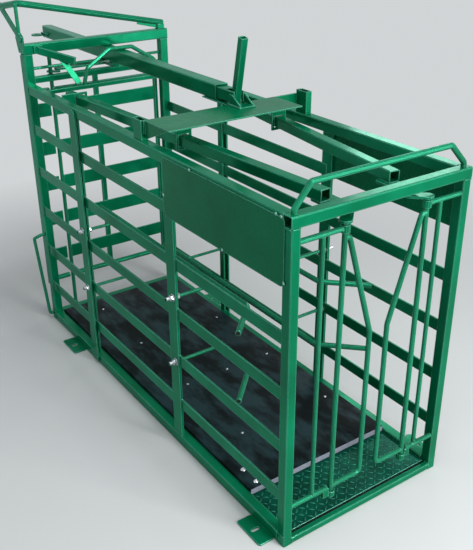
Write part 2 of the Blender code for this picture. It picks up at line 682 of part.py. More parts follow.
def build_link(side, pin_at, green):
    """A link tube with the slotted plate that takes the crank's pin."""
    rear_x, rear_y, slope = link_line(side)
    middle = LINK_BOTTOM + LINK_SECTION / 2
    front = Vector((LINK_FRONT, link_y(side, LINK_FRONT), middle))
    tube = bar_between(SIDE_NAME[side] + "_link_tube", (rear_x, rear_y, middle), front, LINK_SECTION,
                       LINK_SECTION, green, SECTION_RADIUS, LINK_WALL)
    stroke = 2 * EXIT_CRANK * math.sin(math.radians(EXIT_OPEN / 2))
    drift = stroke * math.sin(math.atan(slope))
    bow = EXIT_CRANK * (1 - math.cos(math.radians(EXIT_OPEN / 2)))
    visited = (pin_at.y, pin_at.y - drift, pin_at.y - side * bow - drift / 2)
    margin = EXIT_CRANK_PIN / 2 + 0.0015
    slot_low, slot_high = min(visited) - margin, max(visited) + margin
    tube_low, tube_high = front.y - LINK_SECTION / 2, front.y + LINK_SECTION / 2
    low, high = min(slot_low - 0.008, tube_low), max(slot_high + 0.008, tube_high)
    plate_z = LINK_BOTTOM + 0.001 - FORK_THICKNESS
    plate_front = pin_at.x + EXIT_CRANK_PIN / 2 + 0.012
    plate = prism("fork", rounded_rectangle(plate_front - LINK_FRONT + 0.045, high - low, 0.008),
                  ((plate_front + LINK_FRONT - 0.045) / 2, (low + high) / 2, plate_z), X_AXIS, Y_AXIS,
                  FORK_THICKNESS, green)
    slot = box("slot", (pin_at.x - margin - 0.0005, slot_low, plate_z - 0.01),
               (pin_at.x + margin + 0.0005, slot_high, plate_z + 0.02), green)
    cut(plate, [slot])
    weld(tube, [plate])
    place_on_joint([tube], SIDE_NAME[side] + "_link_slide_axis", (rear_x, rear_y, middle))


def build_entry_gate(green):
    lean = math.radians(90 - ENTRY_OPEN / 2)
    """The swinging leaf on its shaft, the crank that turns it, and the fixed bars beside it."""
    flat_rear = ENTRY_X - ENTRY_FLAT_THICKNESS / 2
    low = ENTRY_TUBE_Z - ENTRY_TUBE / 2 - 0.002
    shaft = round_bar("entry_leaf", [(ENTRY_X, ENTRY_SHAFT_Y, ENTRY_SHAFT_BOTTOM),
                                     (ENTRY_X, ENTRY_SHAFT_Y, ENTRY_SHAFT_TOP)], ENTRY_SHAFT, green)
    half = ENTRY_STILE_WIDTH / 2
    end = ENTRY_LEAF_END - ENTRY_END_STILE
    parts = [box("stile", (flat_rear + WELD_OVERLAP - ENTRY_STILE_DEPTH, ENTRY_STILE_Y - half, low),
                 (flat_rear + WELD_OVERLAP, ENTRY_STILE_Y + half, ENTRY_STILE_TOP), green, 0.002, "z"),
             box("end_stile", (ENTRY_X - half, end, low), (ENTRY_X + half, ENTRY_LEAF_END, ENTRY_STILE_TOP),
                 green, 0.002, "z")]
    parts += entry_bars((ENTRY_SHAFT_Y, end + ENTRY_END_STILE / 2), flat_rear, green)
    leaf = weld(shaft, parts)

    lean = math.radians(90 - ENTRY_OPEN / 2)
    arm = Vector((math.cos(lean), math.sin(lean), 0))
    crank = prism("entry_crank",
                  link_outline(ENTRY_SHAFT / 2 + 0.008, ENTRY_CRANK_PIN / 2 + 0.004, ENTRY_CRANK),
                  (ENTRY_X, ENTRY_SHAFT_Y, ENTRY_CRANK_BOTTOM), arm, Z_AXIS.cross(arm), CRANK_THICKNESS,
                  green)
    pin_at = Vector((ENTRY_X, ENTRY_SHAFT_Y, 0)) + arm * ENTRY_CRANK
    bore = (ENTRY_SHAFT / 2 + GAP) / math.cos(math.pi / SIDES)
    weld(crank, [round_bar("pin", [(pin_at.x, pin_at.y, ENTRY_CRANK_BOTTOM + 0.001),
                                   (pin_at.x, pin_at.y, yoke_low() + YOKE_THICKNESS + 0.002)],
                           ENTRY_CRANK_PIN, green)])
    cut(crank, [round_bar("bore", [(ENTRY_X, ENTRY_SHAFT_Y, ENTRY_CRANK_BOTTOM - 0.01),
                                   (ENTRY_X, ENTRY_SHAFT_Y, ENTRY_CRANK_BOTTOM + 0.02)], 2 * bore, green)])
    place_on_joint([leaf, crank], "entry_pivot", (ENTRY_X, ENTRY_SHAFT_Y, ENTRY_TUBE_Z))

    outer = -(SIDE - GAP)
    infill = box("entry_infill", (ENTRY_X, outer, low), (REAR - GAP, outer + 0.028, ENTRY_INFILL_TOP),
                 green, 0.0, "z")
    weld(infill, entry_bars((outer + 0.014, ENTRY_SHAFT_Y - 0.015), flat_rear, green))


def yoke_low():
    return ENTRY_CRANK_BOTTOM + CRANK_THICKNESS + 0.004


def entry_bars(span, flat_rear, green):
    """The flats, the bottom tube and the top bar of one stretch of the entry gate."""
    y0, y1 = span
    bars = [box("flat", (flat_rear, y0, level - ENTRY_FLAT_HEIGHT / 2),
                (flat_rear + ENTRY_FLAT_THICKNESS, y1, level + ENTRY_FLAT_HEIGHT / 2), green)
            for level in ENTRY_FLAT_LEVELS]
    bars.append(round_bar("tube", [(ENTRY_X, y0, ENTRY_TUBE_Z), (ENTRY_X, y1, ENTRY_TUBE_Z)],
                          ENTRY_TUBE, green))
    half = ENTRY_TOP_BAR / 2
    bars.append(box("bar", (ENTRY_X - half, y0, ENTRY_TOP_BAR_Z - half),
                    (ENTRY_X + half, y1, ENTRY_TOP_BAR_Z + half), green))
    return bars


def lever_ahead(z):
    """Where the front of the leaning lever, with its clearance, is at a height."""
    lean = math.radians(LEVER_LEAN)
    return LEVER_X + (z - LEVER_PIVOT_Z) * math.tan(lean) + LEVER_SECTION / 2 / math.cos(lean) + 0.004


def lever_behind(z):
    """Where the rear of the lever, pulled right back, is at a height, with its clearance."""
    back = math.radians(LEVER_BACK)
    return LEVER_X - (z - LEVER_PIVOT_Z) * math.tan(back) - LEVER_SECTION / 2 / math.cos(back) - 0.004


def lever_bore(half_length, green):
    """The cutter of the hole that the lever's pin goes through."""
    diameter = (LEVER_PIN + 2 * GAP) / math.cos(math.pi / SIDES)
    return round_bar("bore", [LEVER_PIVOT - Y_AXIS * half_length, LEVER_PIVOT + Y_AXIS * half_length],
                     diameter, green)


def build_cross_member(green):
    """The plate across the top rails with its web below, the lever's lugs and the link guides."""
    plate = box("cross_member", (CROSS_REAR, CROSS_PLATE_NEAR, CROSS_UNDERSIDE),
                (CROSS_FRONT, CROSS_PLATE_FAR, CROSS_TOP), green, 0.0)
    web_low = CROSS_TOP - CROSS_WEB_HEIGHT
    far_end = STUB_OUTER - STUB_DEPTH - GAP
    web_inner = CROSS_REAR + CROSS_WEB
    web = box("web", (CROSS_REAR, CROSS_WEB_NEAR, web_low), (web_inner, far_end, CROSS_TOP), green)
    gusset = prism("gusset", [(web_inner - WELD_OVERLAP, CROSS_TOP - CROSS_GUSSET_DROP),
                              (web_inner + 0.012, CROSS_TOP - CROSS_GUSSET_DROP),
                              (CROSS_FRONT - 0.010, CROSS_UNDERSIDE + 0.001),
                              (web_inner - WELD_OVERLAP, CROSS_UNDERSIDE + 0.001)],
                   (0, CROSS_PLATE_NEAR + 0.0045, 0), X_AXIS, Z_AXIS, 0.004, green)
    weld(plate, [web, gusset])
    half = LEVER_SECTION / 2 + 0.003
    cut(plate, [box("slot", (CROSS_REAR - 0.01, BEAM_Y - half, web_low - 0.01),
                    (lever_ahead(CROSS_TOP), BEAM_Y + half, CROSS_TOP + 0.01), green)])
    hangers = []
    for side in (NEAR, FAR):
        hangers.append(guide_ring(side, web_inner + GUIDE_THICKNESS / 2 - 0.0015, web_low + 0.008, None,
                                  green))
        y = BEAM_Y + side * (half - WELD_OVERLAP + LUG_THICKNESS / 2)
        hangers.append(box("lug", (LEVER_X - LUG_LENGTH / 2, y - LUG_THICKNESS / 2, LEVER_PIVOT_Z - 0.015),
                           (LEVER_X + LUG_LENGTH / 2, y + LUG_THICKNESS / 2, CROSS_UNDERSIDE - 0.0005),
                           green))
    weld(plate, hangers)
    cut(plate, [lever_bore(LEVER_SECTION, green)])

    base = SIDE_HEIGHT + GAP
    box("cross_stub_near", (CROSS_REAR - GAP - NEAR_STUB_LENGTH, -STUB_OUTER, base),
        (CROSS_REAR - GAP, STUB_DEPTH - STUB_OUTER, CROSS_TOP), green, 0.002, "z", SECTION_WALL)
    box("cross_stub_far", (CROSS_REAR, STUB_OUTER - STUB_DEPTH, base),
        (CROSS_REAR + FAR_STUB_LENGTH, STUB_OUTER, FAR_STUB_TOP), green, 0.002, "z", SECTION_WALL)


def build_lever(green, bright):
    lean = math.radians(LEVER_LEAN)
    along = Vector((math.sin(lean), 0, math.cos(lean)))
    lever = bar_between("lever", LEVER_PIVOT - along * LEVER_TAIL, LEVER_PIVOT + along * LEVER_REACH,
                        LEVER_SECTION, LEVER_SECTION, green, SECTION_RADIUS, LEVER_WALL, Y_AXIS)
    drive = LEVER_PIVOT + along * LEVER_ARM
    half_pin = PUSH_WIDTH / 2 + 0.0008
    weld(lever, [round_bar("drive", [drive - Y_AXIS * half_pin, drive + Y_AXIS * half_pin], DRIVE_PIN,
                           green)])
    cut(lever, [lever_bore(LEVER_SECTION, green)])
    place_on_joint([lever], "lever_pivot", LEVER_PIVOT)
    half = LEVER_SECTION / 2 + 0.002 + LUG_THICKNESS + 0.004
    round_bar("lever_pin", [LEVER_PIVOT - Y_AXIS * half, LEVER_PIVOT + Y_AXIS * half], LEVER_PIN, bright)

    inner = PUSH_WIDTH / 2 + 0.0015
    outer = inner + LUG_THICKNESS
    rear, front = CROSS_REAR + 0.0025, CROSS_REAR + 0.0025 + BRACKET_LENGTH
    plate = box("lever_bracket", (rear, BEAM_Y - outer - 0.004, BRACKET_BOTTOM),
                (front, BEAM_Y + outer + 0.004, BRACKET_BOTTOM + BRACKET_PLATE), green)
    half = LEVER_SECTION / 2 + 0.0015
    cut(plate, [box("slot", (rear - 0.01, BEAM_Y - half, BRACKET_BOTTOM - 0.01),
                    (lever_ahead(BRACKET_BOTTOM + BRACKET_PLATE), BEAM_Y + half, BRACKET_BOTTOM + 0.02),
                    green)])
    cheeks = []
    for side in (NEAR, FAR):
        y = BEAM_Y + side * (inner + LUG_THICKNESS / 2)
        top = BRACKET_BOTTOM + BRACKET_HEIGHT
        outline = [(rear + 0.002, BRACKET_BOTTOM + 0.002), (front - 0.002, BRACKET_BOTTOM + 0.002),
                   (front - 0.006, BRACKET_BOTTOM + 0.008), (rear + 0.016, top), (rear + 0.002, top)]
        cheeks.append(prism("cheek", outline, (0, y + LUG_THICKNESS / 2, 0), X_AXIS, Z_AXIS,
                            LUG_THICKNESS, green))
    weld(plate, cheeks)


def build_beam_housing(green):
    """The long outer tube with its round nose, eye ring, and slot below for the yoke's block."""
    half = HOUSING / 2
    nose_x = HOUSING_REAR + half
    housing = bar_between("beam_housing", (nose_x, BEAM_Y, BEAM_Z), (HOUSING_FRONT, BEAM_Y, BEAM_Z),
                          HOUSING, HOUSING, green, 0.004, HOUSING_WALL)
    nose = prism("nose", circle(half, 24), (nose_x, BEAM_Y, HOUSING_BOTTOM + 0.0005), X_AXIS, Y_AXIS,
                 HOUSING - 0.001, green)
    inner = half - HOUSING_WALL
    cut(nose, [box("cavity", (nose_x + 0.0005, BEAM_Y - inner, BEAM_Z - inner),
                   (nose_x + HOUSING, BEAM_Y + inner, BEAM_Z + inner), green)])
    eye_z = BEAM_Z - 0.016
    eye = prism("eye", circle(EYE_RADIUS, 20), (HOUSING_REAR - 0.002, BEAM_Y - half - 0.021,
                                                eye_z - EYE_THICKNESS / 2), X_AXIS, Y_AXIS,
                EYE_THICKNESS, green, circle(EYE_HOLE, 20))
    arm = box("arm", (HOUSING_REAR + 0.010, BEAM_Y - half - 0.0055, eye_z - 0.0025),
              (HOUSING_REAR + 0.075, BEAM_Y - half + 0.0015, eye_z + 0.013), green)
    weld(housing, [nose, eye, arm])
    clear = YOKE_BLOCK / 2 + 0.0015
    cut(housing, [box("slot", (YOKE_BLOCK_X - clear - PUSH_STROKE - 0.002, BEAM_Y - clear,
                               HOUSING_BOTTOM - 0.01),
                      (YOKE_BLOCK_X + clear + 0.0015, BEAM_Y + clear,
                       HOUSING_BOTTOM + HOUSING_WALL + 0.001), green)])

    front = CROSS_REAR - GAP
    saddle = box("beam_saddle", (SADDLE_REAR, BEAM_Y - half - 0.006, HOUSING_BOTTOM - GAP - BRACKET_PLATE),
                 (front, BEAM_Y + half + 0.006, HOUSING_BOTTOM - GAP), green)
    clear = LEVER_SECTION / 2 + 0.0025
    cut(saddle, [box("slot", (lever_behind(HOUSING_BOTTOM), BEAM_Y - clear, CROSS_UNDERSIDE - 0.01),
                     (front + 0.01, BEAM_Y + clear, HOUSING_BOTTOM + 0.01), green)])


def build_beam(green):
    build_beam_housing(green)

    half = RAIL_INNER - GAP
    box("beam_rest", (REST_X - REST_BAR / 2, -half, REST_TOP - REST_BAR),
        (REST_X + REST_BAR / 2, half, REST_TOP), green, 0.002, "y")
    hoop_top = HOUSING_TOP + GAP + HOOP_BAR / 2
    foot, shoulder, knee = HOUSING / 2 + 0.139, HOUSING / 2 + 0.123, HOUSING / 2 + 0.024
    shoulder_z = hoop_top - 0.061
    route = [(REST_X, BEAM_Y - foot, REST_TOP + GAP), (REST_X, BEAM_Y - foot, REST_TOP + 0.012),
             (REST_X, BEAM_Y - shoulder, shoulder_z), (REST_X, BEAM_Y - knee, hoop_top),
             (REST_X, BEAM_Y + knee, hoop_top), (REST_X, BEAM_Y + shoulder, shoulder_z),
             (REST_X, BEAM_Y + foot, REST_TOP + 0.012), (REST_X, BEAM_Y + foot, REST_TOP + GAP)]
    round_bar("beam_hoop", rounded_path(route, 0.020, 3), HOOP_BAR, green)

    push = bar_between("push_bar", (PUSH_REAR, BEAM_Y, BEAM_Z), (FORK_END, BEAM_Y, BEAM_Z), PUSH_WIDTH,
                       PUSH_HEIGHT, green, 0.003, PUSH_WALL)
    lean = math.radians(LEVER_LEAN)
    pin_x = LEVER_X + LEVER_ARM * math.sin(lean)
    notch = DRIVE_PIN / 2 + 0.0025
    cut(push, [box("mouth", (FORK_START, BEAM_Y - PUSH_WIDTH / 2 + PUSH_WALL, PUSH_BOTTOM - 0.01),
                   (FORK_END + 0.01, BEAM_Y + PUSH_WIDTH / 2 - PUSH_WALL, PUSH_BOTTOM + PUSH_HEIGHT + 0.01),
                   green),
               box("notch", (pin_x - notch, BEAM_Y - PUSH_WIDTH, PUSH_BOTTOM - 0.01),
                   (pin_x + notch, BEAM_Y + PUSH_WIDTH, LEVER_PIVOT_Z + LEVER_ARM + DRIVE_PIN / 2 + 0.0015),
                   green)])
    yoke = build_yoke(green)
    place_on_joint([push, yoke], "push_slide_axis", (FORK_END, BEAM_Y, BEAM_Z))
    build_stay(green)


def build_yoke(green):
    """The slotted plate that takes the entry crank's pin, with the block that joins the push bar."""
    low = yoke_low()
    lean = math.radians(90 - ENTRY_OPEN / 2)
    pin_x = ENTRY_X + ENTRY_CRANK * math.cos(lean)
    margin = ENTRY_CRANK_PIN / 2 + 0.0018
    near_end = ENTRY_SHAFT_Y + ENTRY_SHAFT / 2 + 0.005
    far_end = BEAM_Y + YOKE_BLOCK / 2
    yoke = prism("gate_yoke", rounded_rectangle(YOKE_WIDTH, far_end - near_end, 0.004),
                 (pin_x, (near_end + far_end) / 2, low), X_AXIS, Y_AXIS, YOKE_THICKNESS, green)
    slot_near = ENTRY_SHAFT_Y + ENTRY_CRANK * math.sin(lean) - margin
    slot_far = ENTRY_SHAFT_Y + ENTRY_CRANK + margin
    cut(yoke, [box("slot", (pin_x - margin, slot_near, low - 0.01), (pin_x + margin, slot_far, low + 0.02),
                   green)])
    half = YOKE_BLOCK / 2
    tongue = box("tongue", (pin_x, BEAM_Y - half + 0.001, low + 0.0005),
                 (YOKE_BLOCK_X + half - 0.002, BEAM_Y + half - 0.001, low + YOKE_THICKNESS - 0.0005), green)
    block = box("block", (YOKE_BLOCK_X - half, BEAM_Y - half, low),
                (YOKE_BLOCK_X + half, BEAM_Y + half, PUSH_BOTTOM - GAP), green)
    return weld(yoke, [tongue, block])


def build_stay(green):
    """The arm from the rear top bar and the slanted strap from it to the rest bar."""
    face = REAR + POST_DEPTH + GAP
    y = -(RAIL_INNER - 0.021)
    z = ENTRY_HEIGHT - 0.025
    pad = box("beam_stay", (face, y - 0.016, z - 0.012), (face + 0.008, y + 0.016, z + 0.018), green)
    arm = bar_between("arm", (face + 0.0075, y, z), (REST_X + 0.024, y + 0.091, z - 0.030), 0.012, 0.028,
                      green, 0.001)
    foot_y = y + 0.112
    strap = bar_between("strap", (REST_X - 0.030, y + 0.057, z - 0.022),
                        (REST_X - 0.004, foot_y, REST_TOP + 0.0085), 0.022, 0.005, green, 0.0, 0.0, X_AXIS)
    foot = box("foot", (REST_X - 0.012, foot_y - 0.014, REST_TOP + GAP),
               (REST_X + 0.008, foot_y + 0.010, REST_TOP + 0.009), green)
    weld(pad, [arm, strap, foot])


def build_front_hoop(green):
    x = FRONT - POST_DEPTH / 2
    foot_z = SIDE_HEIGHT + GAP
    route = [(x, -FRONT_HOOP_FOOT, foot_z), (x, FRONT_HOOP_NEAR, FRONT_HOOP_TOP),
             (x, FRONT_HOOP_FAR, FRONT_HOOP_TOP), (x, FRONT_HOOP_FOOT, foot_z)]
    start = Vector(route[0]) + Z_AXIS * 0.012
    end = Vector(route[-1]) + Z_AXIS * 0.012
    path = rounded_path([route[0], start, route[1], route[2], end, route[-1]], 0.012, 3)
    round_bar("front_hoop", path, FRONT_HOOP_BAR, green)


def build_rear_guards(green):
    """The sloping guard above the entry and the bent guard low on the near post."""
    plate_face = -(SIDE + GAP)
    thickness = 0.005
    x_plate = REAR + POST_DEPTH / 2
    top = ENTRY_HEIGHT
    outline = [(x_plate - 0.022, top - 0.033), (x_plate + 0.022, top - 0.033),
               (x_plate + 0.036, top + 0.010), (x_plate + 0.036, top + 0.031),
               (x_plate + 0.012, top + 0.045), (x_plate - 0.030, top + 0.045),
               (x_plate - 0.040, top + 0.021)]
    plate = prism("rear_top_guard", outline, (0, plate_face, 0), X_AXIS, Z_AXIS, thickness, green)
    holes = [round_bar("hole", [(x_plate + dx, plate_face + 0.01, top + dz),
                                (x_plate + dx, plate_face - 0.02, top + dz)], 0.009, green, 8)
             for dx, dz in ((-0.012, -0.020), (0.018, -0.005), (-0.024, 0.027))]
    cut(plate, holes)
    arm_y = plate_face - thickness - 0.002
    corner = Vector((REAR - GUARD_REACH + 0.014, arm_y, GUARD_HIGH - 0.028))
    arm = bar_between("arm", (x_plate + 0.026, arm_y, top + 0.021), corner + Vector((-0.008, 0, 0.004)), 0.006,
                      0.028, green, 0.001)
    strut = round_bar("strut", [(x_plate + 0.010, arm_y, top + 0.035), (x_plate + 0.008, arm_y, GUARD_HIGH)],
                      0.014, green)
    far = Vector((REAR + 0.017, SIDE - 0.013, GUARD_LOW))
    near = Vector((REAR + 0.022, arm_y + 0.012, GUARD_HIGH))
    tube = round_bar("tube", rounded_path([far, near, corner], 0.022, 4), GUARD_TUBE, green)
    foot = box("foot", (REAR + 0.006, SIDE - 0.040, ENTRY_HEIGHT + GAP),
               (REAR + 0.028, SIDE - 0.010, GUARD_LOW - 0.004), green)
    slope = (GUARD_HIGH - GUARD_LOW) / (far.y - near.y)
    gusset_y = far.y - 0.115
    gusset = prism("gusset", [(far.y - 0.015, ENTRY_HEIGHT + GAP), (far.y - 0.015, GUARD_LOW),
                              (gusset_y, GUARD_LOW + slope * 0.100), (gusset_y - 0.004, GUARD_LOW + 0.004)],
                   (REAR + 0.0145, 0, 0), Y_AXIS, Z_AXIS, thickness, green)
    weld(plate, [arm, strut, tube, foot, gusset])

    x = REAR + 0.0065 + SIDE_GUARD_BAR / 2
    out = -(SIDE + SIDE_GUARD_REACH)
    route = [(x, plate_face, SIDE_GUARD_TOP), (x, -(SIDE + 0.016), SIDE_GUARD_TOP),
             (x - 0.024, out, SIDE_GUARD_TOP - 0.020), (x, -(SIDE + 0.018), SIDE_GUARD_FOOT),
             (x, plate_face, SIDE_GUARD_FOOT)]
    round_bar("rear_side_guard", rounded_path(route, 0.010, 3), SIDE_GUARD_BAR, green)


def build_inner_rails(green):
    for side, y in ((NEAR, NEAR_RAIL_Y), (FAR, FAR_RAIL_Y)):
        for level_name, z in RAIL_LEVELS:
            name = "inner_rail_%s_%s" % (SIDE_NAME[side], level_name)
            path = rounded_path([(RAIL_REAR, y, z), (RAIL_BEND_X, y, z),
                                 (RAIL_BEND_X + RAIL_FLARE, y + side * RAIL_FLARE, z)], RAIL_BEND, 4)
            rail = round_bar(name, path, RAIL_TUBE, green)
            studs = [round_bar("stud", [(x, y, z), (x, side * STUD_END, z)], STUD, green)
                     for x in (MID_UPRIGHT_X, FRONT_STUD_X)]
            weld(rail, studs)
            place_on_joint([rail], name + "_axis", (MID_UPRIGHT_X, y, z))


def main():
    clear_scene()
    green, bright, rubber = green_coat(), zinc(), black_rubber()
    build_portals(green)
    build_side(NEAR, green)
    build_side(FAR, green)
    build_floor(green, rubber)
    build_exit_gate(green)
    build_entry_gate(green)
    build_cross_member(green)
    build_lever(green, bright)
    build_beam(green)
    build_front_hoop(green)
    build_rear_guards(green)
    build_inner_rails(green)
    nodes = [obj for obj in bpy.data.objects if obj.type == "MESH"]
    print("objects", len(nodes), "push stroke", round(PUSH_STROKE, 4), "entry crank", round(ENTRY_CRANK, 4))


main()
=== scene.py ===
import math

import bpy
import numpy as np
from mathutils import Matrix, Vector


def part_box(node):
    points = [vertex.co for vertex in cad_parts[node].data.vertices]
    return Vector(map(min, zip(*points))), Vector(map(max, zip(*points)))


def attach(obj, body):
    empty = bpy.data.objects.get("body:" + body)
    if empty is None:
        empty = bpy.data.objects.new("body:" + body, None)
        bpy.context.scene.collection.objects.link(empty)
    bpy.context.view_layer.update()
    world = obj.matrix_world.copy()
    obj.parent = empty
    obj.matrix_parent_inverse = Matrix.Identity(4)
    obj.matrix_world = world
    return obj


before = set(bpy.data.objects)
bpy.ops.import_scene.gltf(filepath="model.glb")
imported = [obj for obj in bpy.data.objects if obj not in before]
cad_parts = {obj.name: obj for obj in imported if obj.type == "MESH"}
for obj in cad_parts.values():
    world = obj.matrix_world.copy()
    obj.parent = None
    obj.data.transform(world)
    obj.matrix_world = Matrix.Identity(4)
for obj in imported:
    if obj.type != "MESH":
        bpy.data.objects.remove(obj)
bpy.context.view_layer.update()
print("frame loaded:", len(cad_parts), "solids")

scene = bpy.context.scene
scene.view_settings.view_transform = "Standard"

bothSides = (("near", -1), ("far", 1))   # name of a side and its sign along Y
skin = 0.0002                            # metres between a solid's face and what is set on it or let into it

camera = {
    "place": (2.207, -1.409, 1.766),   # metres: beyond the exit, off the near side
    "yaw": 145.56,                     # degrees from +X
    "pitch": -26.49,
    "roll": -0.47,
    "lens": 51.98,                     # millimetres
    "sensor": 36,                      # millimetres along the picture's long side
    "reach": 100,                      # metres
}


def makeCamera(look):
    yaw, pitch, roll = (math.radians(look[k]) for k in ("yaw", "pitch", "roll"))
    ahead = Vector((math.cos(pitch) * math.cos(yaw), math.cos(pitch) * math.sin(yaw), math.sin(pitch)))
    right = ahead.cross(Vector((0, 0, 1))).normalized()
    up = right.cross(ahead)
    rolledRight = right * math.cos(roll) + up * math.sin(roll)
    rolledUp = up * math.cos(roll) - right * math.sin(roll)
    data = bpy.data.cameras.new("photoCamera")
    data.sensor_width = look["sensor"]
    data.lens = look["lens"]
    data.clip_end = look["reach"]
    made = bpy.data.objects.new("photoCamera", data)
    facing = Matrix((rolledRight, rolledUp, -ahead)).transposed().to_4x4()
    made.matrix_world = Matrix.Translation(look["place"]) @ facing
    scene.collection.objects.link(made)
    scene.camera = made


makeCamera(camera)
print("camera placed")


def startMaterial(name):
    material = bpy.data.materials.new(name)
    material.use_nodes = True
    tree = material.node_tree
    return material, tree, tree.nodes["Principled BSDF"]


def feed(tree, node, inputs):
    # an input takes a link where its value is a socket, and the value itself where it isn't
    for key, value in inputs.items():
        if isinstance(value, bpy.types.NodeSocket):
            tree.links.new(value, node.inputs[key])
        else:
            node.inputs[key].default_value = value


def addNode(tree, kind, inputs, **settings):
    node = tree.nodes.new(kind)
    for key, value in settings.items():
        setattr(node, key, value)
    feed(tree, node, inputs)
    return node


def objectPlace(tree):
    return addNode(tree, "ShaderNodeTexCoord", {}).outputs["Object"]


def addNoise(tree, place, scale, detail, roughness=0.5):
    inputs = {"Vector": place, "Scale": scale, "Detail": detail, "Roughness": roughness}
    return addNode(tree, "ShaderNodeTexNoise", inputs).outputs["Fac"]


def mapRange(tree, value, low, high, toLow=0.0, toHigh=1.0):
    inputs = {"Value": value, "From Min": low, "From Max": high, "To Min": toLow, "To Max": toHigh}
    return addNode(tree, "ShaderNodeMapRange", inputs).outputs["Result"]


def mixColour(tree, share, first, second):
    # a Mix node set to colours has them at inputs 6 and 7, and its result at output 2
    return addNode(tree, "ShaderNodeMix", {0: share, 6: first, 7: second}, data_type="RGBA").outputs[2]


def addRelief(tree, height, strength, depth, normal=None):
    # bump of a height, depth in metres, over another normal where one is given
    inputs = {"Height": height, "Strength": strength, "Distance": depth}
    if normal is not None:
        inputs["Normal"] = normal
    return addNode(tree, "ShaderNodeBump", inputs).outputs["Normal"]


def makeCoat(name, look):
    # powder coat: slow clouds shift the green, edges found from a rounded normal get a painted highlight of
    # paler green, and two layers of relief give orange peel and the slight waviness of the steel under it
    material, tree, shader = startMaterial(name)
    place = objectPlace(tree)
    rounded = addNode(tree, "ShaderNodeBevel", {"Radius": look["edgeRadius"]},
                      samples=look["edgeSamples"]).outputs["Normal"]
    plain = addNode(tree, "ShaderNodeNewGeometry", {}).outputs["Normal"]
    likeness = addNode(tree, "ShaderNodeVectorMath", {0: rounded, 1: plain}, operation="DOT_PRODUCT")
    # painted highlight: a mask that lightens the edges, where the rounded normal turns away from the plain
    # one
    paintedEdgeHighlight = mapRange(tree, likeness.outputs["Value"], *look["edgeRange"], 0.0, look["edgeShare"])
    clouds, specks, smears, waves, peel = (addNoise(tree, place, *look[k])
                                           for k in ("clouds", "specks", "smears", "waves", "peel"))
    body = mixColour(tree, mapRange(tree, clouds, *look["cloudRange"]), look["deep"], look["bright"])
    body = mixColour(tree, mapRange(tree, specks, *look["speckRange"], 0.0, look["speckShare"]), body,
                     look["speck"])
    slow = addRelief(tree, waves, look["waveStrength"], look["waveDepth"], rounded)
    fine = addRelief(tree, peel, look["peelStrength"], look["peelDepth"], slow)
    feed(tree, shader, {
        "Base Color": mixColour(tree, paintedEdgeHighlight, body, look["paintedEdgeHighlight"]),
        "Roughness": mapRange(tree, smears, *look["smearRange"], *look["roughness"]),
        "Normal": fine,
        "Specular IOR Level": look["shine"],
        "Specular Tint": look["shineTint"],
        "Metallic": look["metal"],
    })
    return material


# each noise is a scale and a detail, and each range holds the noise values that give none and all of it
tubeCoat = {
    "deep": (0.0003, 0.132, 0.055, 1),
    "bright": (0.0006, 0.206, 0.092, 1),
    "clouds": (5.0, 3.0),
    "cloudRange": (0.32, 0.68),
    "speck": (0.0005, 0.065, 0.031, 1),
    "specks": (160.0, 2.0),
    "speckRange": (0.66, 0.78),
    "speckShare": 0.35,
    # colour of the painted highlight along the edges
    "paintedEdgeHighlight": (0.220, 0.680, 0.540, 1),
    "edgeRadius": 0.0028,                # metres
    "edgeSamples": 4,
    "edgeRange": (0.995, 0.86),          # cosine of the angle between the plain and the rounded normal
    "edgeShare": 0.85,
    "smears": (38.0, 4.0),               # these shift the roughness
    "smearRange": (0.3, 0.7),
    "roughness": (0.14, 0.24),
    "waves": (14.0, 2.0),
    "waveStrength": 0.05,
    "waveDepth": 0.004,                  # metres
    "peel": (900.0, 1.0),
    "peelStrength": 0.03,
    "peelDepth": 0.0004,
    "shine": 0.15,
    "shineTint": (0.35, 1.0, 0.85, 1),
    "metal": 0.33,
}
sheetCoat = dict(tubeCoat, deep=(0.0003, 0.112, 0.046, 1), bright=(0.0006, 0.152, 0.062, 1), waves=(5.0, 2.0),
                 waveStrength=0.14, roughness=(0.22, 0.32), shine=0.10, metal=0.10)
plateCoat = dict(tubeCoat, deep=(0.0004, 0.045, 0.026, 1), bright=(0.0010, 0.088, 0.052, 1), speckShare=0.6,
                 roughness=(0.16, 0.32), clouds=(18.0, 3.0), metal=0.35)
# the tread bars, painted paler than the plate as a painted highlight where they catch the light
barCoat = dict(plateCoat, deep=(0.002, 0.095, 0.058, 1), bright=(0.006, 0.170, 0.110, 1),
               roughness=(0.10, 0.20), shine=0.5, edgeShare=0.3)
# thin coat over the panel's tack welds, scuffed down to the steel
tackCoat = dict(tubeCoat, deep=(0.080, 0.300, 0.210, 1), bright=(0.550, 0.720, 0.640, 1),
                clouds=(220.0, 3.0), metal=0.6, roughness=(0.25, 0.45))


def makeZinc(look):
    # bright zinc plate: metal with small crystals that shift its shade, and noise in its roughness and relief
    material, tree, shader = startMaterial("zincPlate")
    place = objectPlace(tree)
    crystals = addNode(tree, "ShaderNodeTexVoronoi", {"Vector": place, "Scale": look["crystalScale"]})
    grey = addNode(tree, "ShaderNodeRGBToBW", {"Color": crystals.outputs["Color"]}).outputs["Val"]
    smears = addNoise(tree, place, *look["smears"])
    feed(tree, shader, {
        "Base Color": mixColour(tree, grey, look["dark"], look["light"]),
        "Roughness": mapRange(tree, smears, *look["smearRange"], *look["roughness"]),
        "Normal": addRelief(tree, addNoise(tree, place, *look["grain"]), look["grainStrength"],
                            look["grainDepth"]),
        "Metallic": look["metal"],
    })
    return material


zincLook = {
    "dark": (0.42, 0.44, 0.47, 1),
    "light": (0.74, 0.76, 0.80, 1),
    "crystalScale": 420.0,
    "smears": (260.0, 3.0),
    "smearRange": (0.3, 0.7),
    "roughness": (0.18, 0.36),
    "grain": (1100.0, 3.0),
    "grainStrength": 0.15,
    "grainDepth": 0.0003,     # metres
    "metal": 1.0,
}


